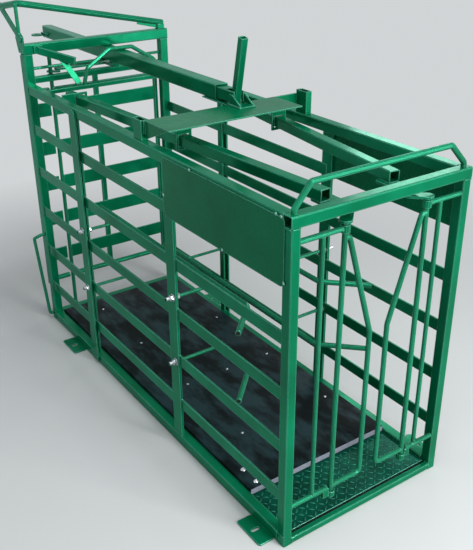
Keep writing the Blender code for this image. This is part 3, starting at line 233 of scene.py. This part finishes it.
def makeRubber(look):
    # cast rubber: near black with broad bluish patches that are partly rub marks and partly painted sheen,
    # dust, fine grain, and a paler sawn front edge
    material, tree, shader = startMaterial("matRubber")
    place = objectPlace(tree)
    stretched = addNode(tree, "ShaderNodeMapping", {"Vector": place, "Scale": look["rubAndSheenStretch"]})
    broad = addNoise(tree, stretched.outputs["Vector"], *look["rubAndSheenPatches"])
    # bluish patches: partly rub marks, partly painted sheen
    body = mixColour(tree, mapRange(tree, broad, *look["rubAndSheenRange"]), look["dark"], look["rubAndSheen"])
    dust = mapRange(tree, addNoise(tree, place, *look["dusts"]), *look["dustRange"], 0.0, look["dustShare"])
    body = mixColour(tree, dust, body, look["dust"])
    along = addNode(tree, "ShaderNodeSeparateXYZ", {"Vector": place}).outputs["X"]
    sawn = mapRange(tree, along, *look["sawnFrom"])
    strands = mapRange(tree, addNoise(tree, place, *look["strands"]), *look["strandRange"])
    sawnColour = mixColour(tree, strands, look["sawnDark"], look["sawnLight"])
    feed(tree, shader, {
        "Base Color": mixColour(tree, sawn, body, sawnColour),
        "Roughness": mapRange(tree, broad, *look["smearRange"], *look["roughness"]),
        "Normal": addRelief(tree, addNoise(tree, place, *look["grain"]), look["grainStrength"],
                            look["grainDepth"]),
        "Specular IOR Level": look["shine"],
    })
    return material


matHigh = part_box("rubber_mat")[1]

matLook = {
    "dark": (0.0008, 0.0040, 0.0048, 1),
    # colour of the patches: rub marks with painted sheen
    "rubAndSheen": (0.0130, 0.0350, 0.0410, 1),
    "rubAndSheenPatches": (6.5, 5.0, 0.6),               # scale, detail and roughness of the noise
    "rubAndSheenStretch": (1.0, 2.2, 1.0),
    "rubAndSheenRange": (0.44, 0.60),
    "dust": (0.018, 0.034, 0.040, 1),
    "dusts": (420.0, 3.0),
    "dustRange": (0.60, 0.74),
    "dustShare": 0.5,
    "sawnDark": (0.17, 0.19, 0.24, 1),
    "sawnLight": (0.40, 0.42, 0.53, 1),
    "sawnFrom": (matHigh.x - 0.0006, matHigh.x - 0.0002),   # along X, so it takes the front face alone
    "strands": (300.0, 4.0, 0.7),
    "strandRange": (0.35, 0.65),
    "smearRange": (0.35, 0.65),
    "roughness": (0.58, 0.36),
    "grain": (520.0, 4.0, 0.65),
    "grainStrength": 0.5,
    "grainDepth": 0.0006,                  # metres
    "shine": 0.10,
}


def makeShade(look):
    # painted shade for the dark inside of an open tube: a rough near-black colour, mottled by noise
    material, tree, shader = startMaterial("tubeMouthShade")
    shadeMottle = mapRange(tree, addNoise(tree, objectPlace(tree), *look["shadeMottle"]), *look["shadeMottleRange"])
    feed(tree, shader, {
        "Base Color": mixColour(tree, shadeMottle, look["dark"], look["light"]),
        "Roughness": look["roughness"],
    })
    return material


# colours of the painted shade in the open rail ends
mouthLook = {
    "dark": (0.002, 0.004, 0.003, 1),
    "light": (0.007, 0.012, 0.009, 1),
    "shadeMottle": (240.0, 3.0),
    "shadeMottleRange": (0.4, 0.7),
    "roughness": 0.85,
}

coatOnTubes = makeCoat("greenCoatTubes", tubeCoat)
coatOnSheet = makeCoat("greenCoatSheet", sheetCoat)
coatOnPlate = makeCoat("greenCoatPlate", plateCoat)
coatOnBars = makeCoat("greenCoatTreadBars", barCoat)
coatOnTacks = makeCoat("greenCoatTacks", tackCoat)
zincPlate = makeZinc(zincLook)
matRubber = makeRubber(matLook)
tubeMouthShade = makeShade(mouthLook)
print("materials made")

finishOf = {
    "lever_pin": zincPlate,
    "rubber_mat": matRubber,
    "near_sheet_panel": coatOnSheet,
    "far_sheet_panel": coatOnSheet,
    "cross_member": coatOnSheet,
    "floor_plate": coatOnPlate,
}

for nodeName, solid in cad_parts.items():
    for materialSlot in solid.material_slots:
        materialSlot.material = finishOf.get(nodeName, coatOnTubes)
print("solids finished")


def ringFaces(rows, columns, closed=False):
    # quads between neighbouring rows of a grid whose columns run all the way round
    row = np.arange(rows if closed else rows - 1)[:, None]
    column = np.arange(columns)[None, :]
    nextRow = (row + 1) % rows
    nextColumn = (column + 1) % columns
    corners = np.stack([row * columns + column, row * columns + nextColumn,
                        nextRow * columns + nextColumn, nextRow * columns + column], axis=-1)
    return corners.reshape(-1, 4)


def capFaces(ring, pole, flip=False):
    # triangles from a closed ring of points to one pole
    follow = np.roll(ring, -1)
    made = np.stack([ring, follow, np.full_like(ring, pole)], axis=-1)
    return made[:, ::-1] if flip else made


def closedGrid(rings):
    # rings (rows, columns, 3) become a closed skin: quads between rows and a pole at each end's middle
    rows, columns = rings.shape[:2]
    points = np.concatenate([rings.reshape(-1, 3), rings[0].mean(axis=0)[None], rings[-1].mean(axis=0)[None]])
    quads = ringFaces(rows, columns)
    first = np.arange(columns)
    last = first + (rows - 1) * columns
    tris = np.concatenate([capFaces(first, rows * columns, flip=True), capFaces(last, rows * columns + 1)])
    return points, quads, tris


def outward(shape):
    # the faces turn round if the volume they enclose counts as negative
    points, quads, tris = shape
    fans = np.concatenate([tris.reshape(-1, 3), quads[:, :3], quads[:, [0, 2, 3]]])
    a, b, c = (points[fans[:, k]] for k in range(3))
    if np.einsum("ij,ij->i", a, np.cross(b, c)).sum() < 0:
        return points, quads[:, ::-1], tris[:, ::-1]
    return shape


def copies(shape, places):
    # one shape repeated: its points go through every 4 x 4 matrix of places at once
    points, quads, tris = shape
    places = np.asarray(places)
    full = np.concatenate([points, np.ones((len(points), 1))], axis=1)
    moved = np.einsum("nij,pj->npi", places, full)[..., :3].reshape(-1, 3)
    shift = np.arange(len(places))[:, None, None] * len(points)
    return moved, (quads[None] + shift).reshape(-1, 4), (tris[None] + shift).reshape(-1, 3)


def joined(shapes):
    # several shapes in one list of points and faces
    shift = np.cumsum([0] + [len(s[0]) for s in shapes[:-1]])
    return (np.concatenate([s[0] for s in shapes]),
            np.concatenate([s[1] + k for s, k in zip(shapes, shift)]),
            np.concatenate([s[2] + k for s, k in zip(shapes, shift)]))


def addPiece(name, shape, material, body, crease=35.0):
    # crease: degrees between two faces from which the edge between them is sharp
    points, quads, tris = shape
    loops = np.concatenate([quads.ravel(), tris.ravel()]).astype(np.int32)
    sizes = np.concatenate([np.full(len(quads), 4), np.full(len(tris), 3)])
    starts = (np.cumsum(sizes) - sizes).astype(np.int32)
    mesh = bpy.data.meshes.new(name)
    mesh.vertices.add(len(points))
    mesh.vertices.foreach_set("co", points.astype(np.float32).ravel())
    mesh.loops.add(len(loops))
    mesh.loops.foreach_set("vertex_index", loops)
    mesh.polygons.add(len(sizes))
    mesh.polygons.foreach_set("loop_start", starts)
    mesh.update(calc_edges=True)
    mesh.validate()
    mesh.shade_smooth()
    mesh.set_sharp_from_angle(angle=math.radians(crease))
    mesh.materials.append(material)
    piece = bpy.data.objects.new(name, mesh)
    scene.collection.objects.link(piece)
    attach(piece, body)


def placeOn(origin, axis, spin=0.0):
    # matrix that stands a shape made along +Z on origin, pointing along axis and turned by spin
    turn = Vector(axis).to_track_quat("Z", "Y").to_matrix().to_4x4()
    return np.array(Matrix.Translation(origin) @ turn @ Matrix.Rotation(spin, 4, "Z"))


def turnedRings(profile, sides, hexagon):
    # (radius, height) pairs carried round the axis: point = (r cos t, r sin t, h); where hexagon marks
    # a pair, r is divided by the cosine of t's distance to the middle of the next flat
    profile = np.asarray(profile, dtype=float)
    angle = np.arange(sides) * 2 * np.pi / sides
    radius = np.repeat(profile[:, :1], sides, axis=1)
    if hexagon is not None:
        toFlat = (angle + np.pi / 6) % (np.pi / 3) - np.pi / 6
        marks = np.asarray(hexagon, dtype=float)[:, None]
        radius = radius * (1 + marks * (1 / np.cos(toFlat)[None] - 1))
    height = np.repeat(profile[:, 1:], sides, axis=1)
    return np.stack([radius * np.cos(angle), radius * np.sin(angle), height], axis=-1)


def turnedRing(profile, sides, hexagon=None):
    # the profile closes on itself, so the shape has a hole along its axis
    rings = turnedRings(profile, sides, hexagon)
    return outward((rings.reshape(-1, 3), ringFaces(len(rings), sides, closed=True), np.zeros((0, 3), int)))


def turnedSolid(profile, sides, hexagon=None):
    # the profile runs from pole to pole
    return outward(closedGrid(turnedRings(profile, sides, hexagon)))


def nutShape(look):
    # six flats round a bore, with a chamfer on every rim
    half, bore = look["flats"] / 2, look["bore"]
    height, rim, ease = look["height"], look["rim"], look["ease"]
    low = [(bore, rim), (bore + rim, 0), (half - ease, 0), (half, rim)]
    high = [(half, height - rim), (half - ease, height), (bore + rim, height), (bore, height - rim)]
    return turnedRing(low + high, look["sides"], [0, 0, 0, 1, 1, 0, 0, 0])


def washerShape(look):
    # a flat ring, eased along its outer rims
    radius, bore, thick, ease = (look[k] for k in ("radius", "bore", "thick", "ease"))
    return turnedRing([(bore, 0), (radius - ease, 0), (radius, ease), (radius, thick - ease),
                       (radius - ease, thick), (bore, thick)], look["sides"])


def headShape(look):
    # hexagon head: a small chamfer at the foot, a larger one at the top, then a round crown
    half, height, pole = look["flats"] / 2, look["height"], look["pole"]
    (footIn, footUp), (topIn, topDown) = look["foot"], look["top"]
    return turnedSolid([(pole, 0), (half - footIn, 0), (half, footUp), (half, height - topDown),
                        (half - topIn, height), (half * look["crown"], height), (pole, height)],
                       look["sides"], [0, 0, 1, 1, 0, 0, 0])


def domeShape(look):
    # button head: height falls off as the square of the distance from the axis, with a six-sided socket
    radius, height, pole = look["radius"], look["height"], look["pole"]
    dome = [(radius * s, height * (1 - s * s) + look["rim"]) for s in look["shares"]]
    mouth, base = look["socketRadii"]
    foot, centre = look["socketHeights"]
    socket = [(radius * mouth, dome[-1][1]), (radius * base, height * foot), (pole, height * centre)]
    marks = [0] * (2 + len(dome)) + [1, 1, 0]
    return turnedSolid([(pole, 0), (radius, 0)] + dome + socket, look["sides"], marks)


def threadShape(look):
    # screw thread: the radius rises and falls once a pitch along the axis and slips back one pitch a turn
    length, root, crest, pitch = (look[k] for k in ("length", "root", "crest", "pitch"))
    height = np.linspace(0, length, int(length / pitch * look["rowsAPitch"]))[:, None]
    angle = (np.arange(look["sides"]) * 2 * np.pi / look["sides"])[None, :]
    phase = (height / pitch - angle / (2 * np.pi)) % 1.0
    ridge = 1 - np.abs(2 * phase - 1)
    ends = np.clip(np.minimum(height, length - height) / (pitch * look["runOut"]), 0, 1)
    radius = (root - look["sunk"]) + (look["sunk"] + (crest - root) * ridge) * ends
    rings = np.stack([radius * np.cos(angle), radius * np.sin(angle), height + 0 * angle], axis=-1)
    return outward(closedGrid(rings))


strapLow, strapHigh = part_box("far_strap")
grilleLow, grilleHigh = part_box("far_side_grille")
railBoxes = {level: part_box(f"inner_rail_far_{level}") for level in ("lower", "upper")}

studs = {
    # along X, and how far from the middle plane lie the faces under the outer and the inner washer
    "uprights": (((strapLow.x + strapHigh.x) / 2, strapHigh.y, grilleLow.y),
                 (0.259, grilleHigh.y, grilleHigh.y - 0.010)),
    "levels": {level: (low.z + high.z) / 2 for level, (low, high) in railBoxes.items()},
    "tip": railBoxes["lower"][1].y,
    "spin": 0.3,               # radians that a nut is turned by
    "spinALevel": 0.7,
    "spinAMetre": 2.0,
    "spinInside": 0.4,
    # sizes in metres; bores and rims are radii, and flats is the width across the flats
    "washer": {"radius": 0.0125, "bore": 0.0068, "thick": 0.0018, "ease": 0.0004, "sides": 32},
    "nut": {"flats": 0.0185, "bore": 0.0067, "height": 0.0085, "rim": 0.0009, "ease": 0.0002, "sides": 24},
    "thread": {
        "length": 0.0257,
        "root": 0.00605,
        "crest": 0.00645,
        "pitch": 0.00175,
        "rowsAPitch": 6,
        "sides": 20,
        "runOut": 0.8,         # pitches over which the thread fades at its ends
        "sunk": 0.0008,        # how much thinner it ends than its root
    },
}


def addStudHardware(look):
    nut = nutShape(look["nut"])
    washer = washerShape(look["washer"])
    thread = threadShape(look["thread"])
    thick = look["washer"]["thick"]
    start = look["tip"] - look["thread"]["length"]
    for side, sign in bothSides:
        washers, nuts = [], []
        for x, outerFace, innerFace in look["uprights"]:
            outer, inner = outerFace + skin, innerFace - skin
            for number, z in enumerate(look["levels"].values()):
                spin = look["spin"] + look["spinALevel"] * number + look["spinAMetre"] * x
                spinInside = spin + look["spinInside"]
                washers.append(placeOn((x, sign * outer, z), (0, sign, 0)))
                washers.append(placeOn((x, sign * inner, z), (0, -sign, 0)))
                nuts.append(placeOn((x, sign * (outer + thick), z), (0, sign, 0), spin))
                nuts.append(placeOn((x, sign * (inner - thick), z), (0, -sign, 0), spinInside))
        addPiece(f"{side}_rail_washers", copies(washer, washers), zincPlate, "frame")
        addPiece(f"{side}_rail_nuts", copies(nut, nuts), zincPlate, "frame")
        for level, z in look["levels"].items():
            starts = [placeOn((upright[0], sign * start, z), (0, sign, 0)) for upright in look["uprights"]]
            addPiece(f"{side}_{level}_stud_threads", copies(thread, starts), zincPlate,
                     f"rail_{side}_{level}")


addStudHardware(studs)
print("stud hardware made")

button = {
    "rim": 0.0006,                                    # metres that the dome starts above the mat
    "shares": (1.0, 0.98, 0.9, 0.75, 0.58, 0.42),     # of the radius, where the dome has a ring
    "socketRadii": (0.36, 0.34),                      # shares of the radius at the mouth and the floor
    "socketHeights": (0.45, 0.40),                    # shares of the height at its wall's foot and middle
    "pole": 0.0002,
    "sides": 24,
}

matScrews = {
    "level": matHigh.z + 0.0001,
    "rows": (-0.699, -0.345, 0.022, 0.385),           # along X
    "lines": (-0.140, 0.234),                         # along Y
    "middle": (0.022, 0.041),
    "screw": dict(button, radius=0.0052, height=0.0022),
    "boltPlaces": ((0.543, -0.248), (0.613, -0.247)),
    "bolt": dict(button, radius=0.0088, height=0.0050),
    "spinAMetre": 9,                                  # radians
    "rimPlaces": ((0.601, 0.154),),                   # moulded rim of a hole that holds no bolt
    "rim": {"radius": 0.0140, "bore": 0.0108, "thick": 0.0011, "ease": 0.0004, "sides": 32},
}


def addMatScrews(look):
    z, turn = look["level"], look["spinAMetre"]
    spots = [(x, y) for x in look["rows"] for y in look["lines"]] + [look["middle"]]
    screws = [placeOn((x, y, z), (0, 0, 1), x * turn) for x, y in spots]
    bolts = [placeOn((x, y, z), (0, 0, 1), y * turn) for x, y in look["boltPlaces"]]
    rims = [placeOn((x, y, z), (0, 0, 1)) for x, y in look["rimPlaces"]]
    addPiece("mat_screws", copies(domeShape(look["screw"]), screws), zincPlate, "frame")
    addPiece("mat_bolts", copies(domeShape(look["bolt"]), bolts), zincPlate, "frame")
    addPiece("mat_hole_rims", copies(washerShape(look["rim"]), rims), matRubber, "frame")


addMatScrews(matScrews)

leverBolts = {
    "flats": 0.019,
    "height": 0.0065,
    "foot": (0.0004, 0.0006),   # chamfer: in from the flat, up from the foot
    "top": (0.0003, 0.0009),    # chamfer: in from the flat, down from the top
    "crown": 0.4,               # share of the head's half width
    "pole": 0.0005,
    "sides": 24,
    "spins": (0.2, 0.5),        # radians
}


def addLeverBolts(look):
    low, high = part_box("lever_pin")
    middle = (low + high) / 2
    nearSpin, farSpin = look["spins"]
    ends = [placeOn((middle.x, low.y - skin, middle.z), (0, -1, 0), nearSpin),
            placeOn((middle.x, high.y + skin, middle.z), (0, 1, 0), farSpin)]
    addPiece("lever_pin_heads", copies(headShape(look), ends), zincPlate, "frame")


addLeverBolts(leverBolts)
print("screws and bolts made")

plateLow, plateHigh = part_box("floor_plate")

tread = {
    "top": plateHigh.z - skin,
    "x": (matHigh.x + 0.0140, plateHigh.x - 0.0055),   # from the mat's front edge to the plate's
    "y": (plateLow.y + 0.0127, plateHigh.y - 0.0102),
    "pitch": 0.0205,
    "slant": 45.0,                                     # degrees, to the left and to the right by turns
    "length": 0.0205,
    "width": 0.0064,
    "height": 0.0026,
    "shares": (1.0, 0.8, 0.45),                        # of the outline, from the rim inwards
    "sides": 14,
    "crease": 60,
}


def treadBar(look):
    # a lens: x = a cos t, y = b sin^2 t with the sign of sin t, and the height falls as 1 - u^2 to the rim
    angle = (np.arange(look["sides"]) * 2 * np.pi / look["sides"])[None, :]
    share = np.array(look["shares"])[:, None]
    x = look["length"] / 2 * np.cos(angle) * share
    y = look["width"] / 2 * np.sin(angle) ** 2 * np.sign(np.sin(angle)) * share
    z = look["height"] * (1 - share ** 2) + 0 * angle
    return outward(closedGrid(np.stack([x, y, z], axis=-1)))


def addTread(look):
    # a grid of bars, each a turn about Z and a shift
    xs = np.arange(*look["x"], look["pitch"])
    ys = np.arange(*look["y"], look["pitch"])
    i, j = np.meshgrid(np.arange(len(xs)), np.arange(len(ys)), indexing="ij")
    turn = np.where((i + j) % 2 == 0, 1.0, -1.0).ravel() * math.radians(look["slant"])
    places = np.tile(np.eye(4), (turn.size, 1, 1))
    places[:, 0, 0] = np.cos(turn)
    places[:, 0, 1] = -np.sin(turn)
    places[:, 1, 0] = np.sin(turn)
    places[:, 1, 1] = np.cos(turn)
    places[:, 0, 3] = xs[i].ravel()
    places[:, 1, 3] = ys[j].ravel()
    places[:, 2, 3] = look["top"]
    addPiece("floor_tread", copies(treadBar(look), places), coatOnBars, "frame",
             look["crease"])


addTread(tread)
print("tread made")


def beadShape(start, end, radius, look):
    # weld bead: circles along a line, whose radius ripples as |sin| and is drawn in at both ends
    start, end = np.asarray(start, float), np.asarray(end, float)
    length = np.linalg.norm(end - start)
    share = np.linspace(0.0, 1.0, max(look["fewestRows"], int(length / look["step"])))
    ends = np.sqrt(np.clip(1 - np.abs(2 * share - 1) ** look["endPower"], look["endLeft"], 1))
    ripple = look["rippleHeight"] * np.abs(np.sin(share * length / look["rippleLength"] * np.pi))
    ahead = (end - start) / length
    side = np.cross(ahead, look["askew"])
    side = side / np.linalg.norm(side)
    third = np.cross(ahead, side)
    angle = np.arange(look["sides"]) * 2 * np.pi / look["sides"]
    circle = np.cos(angle)[:, None] * side + np.sin(angle)[:, None] * third
    spine = start + share[:, None] * (end - start)
    swell = radius * ends * (1 + ripple)
    return outward(closedGrid(spine[:, None, :] + swell[:, None, None] * circle[None]))


postLow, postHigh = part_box("front_post_far")
rearPostLow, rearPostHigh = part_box("rear_post_far")
topRailLow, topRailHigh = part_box("front_top_rail")
sillLow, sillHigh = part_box("far_bottom_rail")
frontSillLow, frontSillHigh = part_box("front_bottom_rail")
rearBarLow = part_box("rear_top_bar")[0]
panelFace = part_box("far_sheet_panel")[1].y

welds = {
    "bead": 0.0026,              # radius
    "fineBead": 0.0019,
    "shape": {
        "step": 0.0009,          # metres between rings
        "fewestRows": 9,
        "rippleLength": 0.0020,
        "rippleHeight": 0.16,    # share of the radius
        "endPower": 8,
        "endLeft": 0.02,
        "askew": (0.31, 0.47, 0.83),   # any direction that no bead runs along
        "sides": 8,
    },
    "crease": 80,
    "flatPitch": 0.175,          # the side's flats lie at whole multiples of it
    "longFlats": 4,              # these run from post to post, and one more ends at the upright
    "flatHalf": 0.0185,
    # along X and how deep below the grille's outer face: ends of flats behind and before the upright
    "rearEnds": ((rearPostHigh.x - skin, 0.0052), (0.2240, 0.0046)),
    "frontEnds": ((0.2762, 0.0046), (postLow.x + skin, 0.0052)),
    # along X and half the length of the beads at the feet and heads of the two uprights
    "uprights": (((strapLow.x + strapHigh.x) / 2, 0.0135), (0.250, 0.0235)),
    "uprightDepth": 0.0055,
    "uprightEnds": (sillHigh.z + skin, grilleHigh.z + 0.0005),
    # how far beads stop short of the ends of their seams
    "postShort": 0.0020,
    "faceShort": 0.0015,
    "railShort": 0.0025,
    "sillShort": (0.0012, 0.0010),
    "sillFace": 0.0005,
}


def addBeads(name, seams, look):
    beads = [beadShape(start, end, radius, look["shape"]) for start, end, radius in seams]
    addPiece(name, joined(beads), coatOnTubes, "frame", look["crease"])


def addSideWelds(side, sign, look):
    # upright beads where the flats end, then level ones where the uprights meet the rails
    seams = []
    for number in range(1, look["longFlats"] + 2):
        z = look["flatPitch"] * number
        ends = look["rearEnds"] + (look["frontEnds"] if number <= look["longFlats"] else ())
        for x, depth in ends:
            y = sign * (grilleHigh.y - depth)
            seams.append(((x, y, z - look["flatHalf"]), (x, y, z + look["flatHalf"]), look["fineBead"]))
    y = sign * (grilleHigh.y - look["uprightDepth"])
    for x, half in look["uprights"]:
        for z in look["uprightEnds"]:
            seams.append(((x - half, y, z), (x + half, y, z), look["bead"]))
    addBeads(f"{side}_side_welds", seams, look)


def addPostWelds(side, sign, look):
    outer, inner = sign * (postHigh.y + skin), sign * (postLow.y - skin)
    frontJoint, rearJoint = topRailLow.z - skin, rearBarLow.z
    seams = []
    # on the posts' outer faces, along the joints above and below
    for low, high, joint in ((postLow.x, postHigh.x, frontJoint), (rearPostLow.x, rearPostHigh.x, rearJoint)):
        start, end = low + look["postShort"], high - look["postShort"]
        for z in (joint, sillHigh.z + skin):
            seams.append(((start, outer, z), (end, outer, z), look["bead"]))
    # on the portals' faces, along the joints above
    start, end = sign * (postLow.y + look["faceShort"]), sign * (postHigh.y - look["faceShort"])
    for x, z in ((postHigh.x + skin, frontJoint), (rearPostLow.x - skin, rearJoint)):
        seams.append(((x, start, z), (x, end, z), look["bead"]))
    # upright, where the side's top rail and sill meet the posts
    for x in (rearPostHigh.x + skin, postLow.x - skin):
        for low, high in ((topRailLow.z + look["faceShort"], topRailHigh.z - look["railShort"]),
                          (sillLow.z + look["railShort"], sillHigh.z - look["railShort"])):
            seams.append(((x, sign * postHigh.y, low), (x, sign * postHigh.y, high), look["fineBead"]))
    # where the front sill meets the post: up its face and along its top
    x = frontSillHigh.x - look["sillFace"]
    low, high = frontSillLow.z + look["faceShort"], frontSillHigh.z - look["sillShort"][1]
    seams.append(((x, inner, low), (x, inner, high), look["fineBead"]))
    z = frontSillHigh.z + skin
    start, end = frontSillLow.x + look["sillShort"][0], frontSillHigh.x - look["sillShort"][1]
    seams.append(((start, inner, z), (end, inner, z), look["fineBead"]))
    addBeads(f"{side}_post_welds", seams, look)


tacks = {
    "radius": 0.0052,
    "height": 0.0016,
    "shoulder": (0.8, 0.6),    # shares of the radius and of the height
    "crown": 0.4,              # share of the radius
    "pole": 0.0003,
    "sides": 16,
    "crease": 60,
    # along X and Z, on the panel's edges
    "places": ((0.791, 1.0415), (0.812, 1.0405), (0.551, 0.8560), (0.8255, 0.8670), (0.2360, 0.9200),
               (0.3900, 1.0410)),
}


def addPanelTacks(side, sign, look):
    # flat drops of weld
    radius, height = look["radius"], look["height"]
    shoulder = (radius * look["shoulder"][0], height * look["shoulder"][1])
    drop = turnedSolid([(look["pole"], 0), (radius, 0), shoulder, (radius * look["crown"], height),
                        (look["pole"], height)], look["sides"])
    places = [placeOn((x, sign * (panelFace - skin), z), (0, sign, 0)) for x, z in look["places"]]
    addPiece(f"{side}_panel_tacks", copies(drop, places), coatOnTacks, "frame",
             look["crease"])


for sideName, sideSign in bothSides:
    addSideWelds(sideName, sideSign, welds)
    addPostWelds(sideName, sideSign, welds)
    addPanelTacks(sideName, sideSign, tacks)
print("welds made")

mouths = {
    "radius": 0.0066,
    "lip": 0.0004,
    "hollow": (0.5, 0.9),      # shares of the radius and of the lip
    "pole": 0.0003,
    "sides": 24,
    "lift": 0.0001,            # of the rear mouth off the rail's end
    "bendStart": 0.442,        # along X, where a rail turns outwards by 45 degrees
}


def addRailMouths(look):
    # a disc of painted shade over each end of the four rails, standing for the dark hollow inside the tube
    radius, lip, low = look["radius"], look["lip"], look["lip"] * look["hollow"][1]
    disc = turnedSolid([(look["pole"], 0), (radius, 0), (radius, lip), (radius * look["hollow"][0], low),
                        (look["pole"], low)], look["sides"])
    for side, sign in bothSides:
        for level in ("lower", "upper"):
            start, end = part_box(f"inner_rail_{side}_{level}")
            z = (start.z + end.z) / 2
            half = (end.z - start.z) / 2
            y = sign * (min(abs(start.y), abs(end.y)) + half)
            x = end.x - half * math.sqrt(0.5)
            flare = (x, y + sign * (x - look["bendStart"]), z)
            ends = [placeOn((start.x - look["lift"], y, z), (-1, 0, 0)), placeOn(flare, (1, sign, 0))]
            addPiece(f"{side}_{level}_rail_mouths", copies(disc, ends), tubeMouthShade, f"rail_{side}_{level}")


addRailMouths(mouths)
print("rail ends made")


def backdropRay(tree):
    # 1 for what the camera, a mirrored ray or a ray through glass sees, 0 for light that falls on things
    rays = addNode(tree, "ShaderNodeLightPath", {}).outputs
    either = addNode(tree, "ShaderNodeMath", {0: rays["Is Camera Ray"], 1: rays["Is Glossy Ray"]},
                     operation="MAXIMUM").outputs["Value"]
    return addNode(tree, "ShaderNodeMath", {0: either, 1: rays["Is Transmission Ray"]},
                   operation="MAXIMUM").outputs["Value"]


ground = {
    "near": (0.62, 0.64, 0.65, 1),
    "far": (0.64, 0.66, 0.67, 1),
    "fade": (1.3, 2.7),        # metres from the middle, where near begins to pass into far and where it ends
    "roughness": 0.9,
    "shine": 0.1,
    "half": 30.0,              # metres from the middle to a side
    "level": -0.0005,
}


def addGround(look):
    # near the crate the floor is lit and takes its shadow; further off it passes into an even pale backdrop
    material, tree, shader = startMaterial("studioFloor")
    feed(tree, shader, {"Base Color": look["near"], "Roughness": look["roughness"],
                        "Specular IOR Level": look["shine"]})
    away = addNode(tree, "ShaderNodeVectorMath", {0: objectPlace(tree)}, operation="LENGTH").outputs["Value"]
    faded = mapRange(tree, away, *look["fade"])
    share = addNode(tree, "ShaderNodeMath", {0: backdropRay(tree), 1: faded}, operation="MULTIPLY")
    glow = addNode(tree, "ShaderNodeEmission", {"Color": look["far"]})
    blend = addNode(tree, "ShaderNodeMixShader", {0: share.outputs["Value"], 1: shader.outputs["BSDF"],
                                                  2: glow.outputs["Emission"]})
    feed(tree, tree.nodes["Material Output"], {"Surface": blend.outputs["Shader"]})
    half, z = look["half"], look["level"]
    mesh = bpy.data.meshes.new("studio_floor")
    mesh.from_pydata([(-half, -half, z), (half, -half, z), (half, half, z), (-half, half, z)], [],
                     [(0, 1, 2, 3)])
    mesh.materials.append(material)
    floor = bpy.data.objects.new("studio_floor", mesh)
    scene.collection.objects.link(floor)


sky = {
    "colour": (0.90, 0.93, 0.95, 1),
    "light": 0.22,             # strength that falls on things
    "seen": 0.71,              # strength that the camera and mirrored rays see
}


def addSky(look):
    world = bpy.data.worlds.new("studioSky")
    world.use_nodes = True
    scene.world = world
    tree = world.node_tree
    strength = mapRange(tree, backdropRay(tree), 0.0, 1.0, look["light"], look["seen"])
    feed(tree, tree.nodes["Background"], {"Color": look["colour"], "Strength": strength})


lamps = (
    # place, aimed at, size in metres, watts, colour
    ((4.4, 0.9, 2.4), (0.2, 0.0, 0.6), 1.8, 210, (1.0, 0.99, 0.97)),
    ((1.2, -0.4, 4.6), (0.0, 0.0, 0.6), 2.2, 80, (0.97, 0.99, 1.0)),
    ((-0.6, -5.0, 2.6), (0.0, 0.0, 0.6), 3.0, 40, (0.95, 0.98, 1.0)),
    ((3.0, 1.9, 0.95), (-0.6, 0.0, 0.9), 1.2, 22, (0.96, 1.0, 1.0)),
    ((-1.5, 2.6, 2.0), (0.83, 0.1, 1.0), 0.8, 8, (1.0, 1.0, 1.0)),
)


def addLamp(name, place, aim, size, watts, colour):
    data = bpy.data.lights.new(name, "AREA")
    data.size = size
    data.energy = watts
    data.color = colour
    lamp = bpy.data.objects.new(name, data)
    lamp.location = place
    lamp.rotation_euler = (Vector(aim) - Vector(place)).to_track_quat("-Z", "Y").to_euler()
    lamp.visible_camera = False
    scene.collection.objects.link(lamp)


addGround(ground)
addSky(sky)
for lampNumber, lampFacts in enumerate(lamps):
    addLamp(f"softLamp{lampNumber}", *lampFacts)
print("studio made")
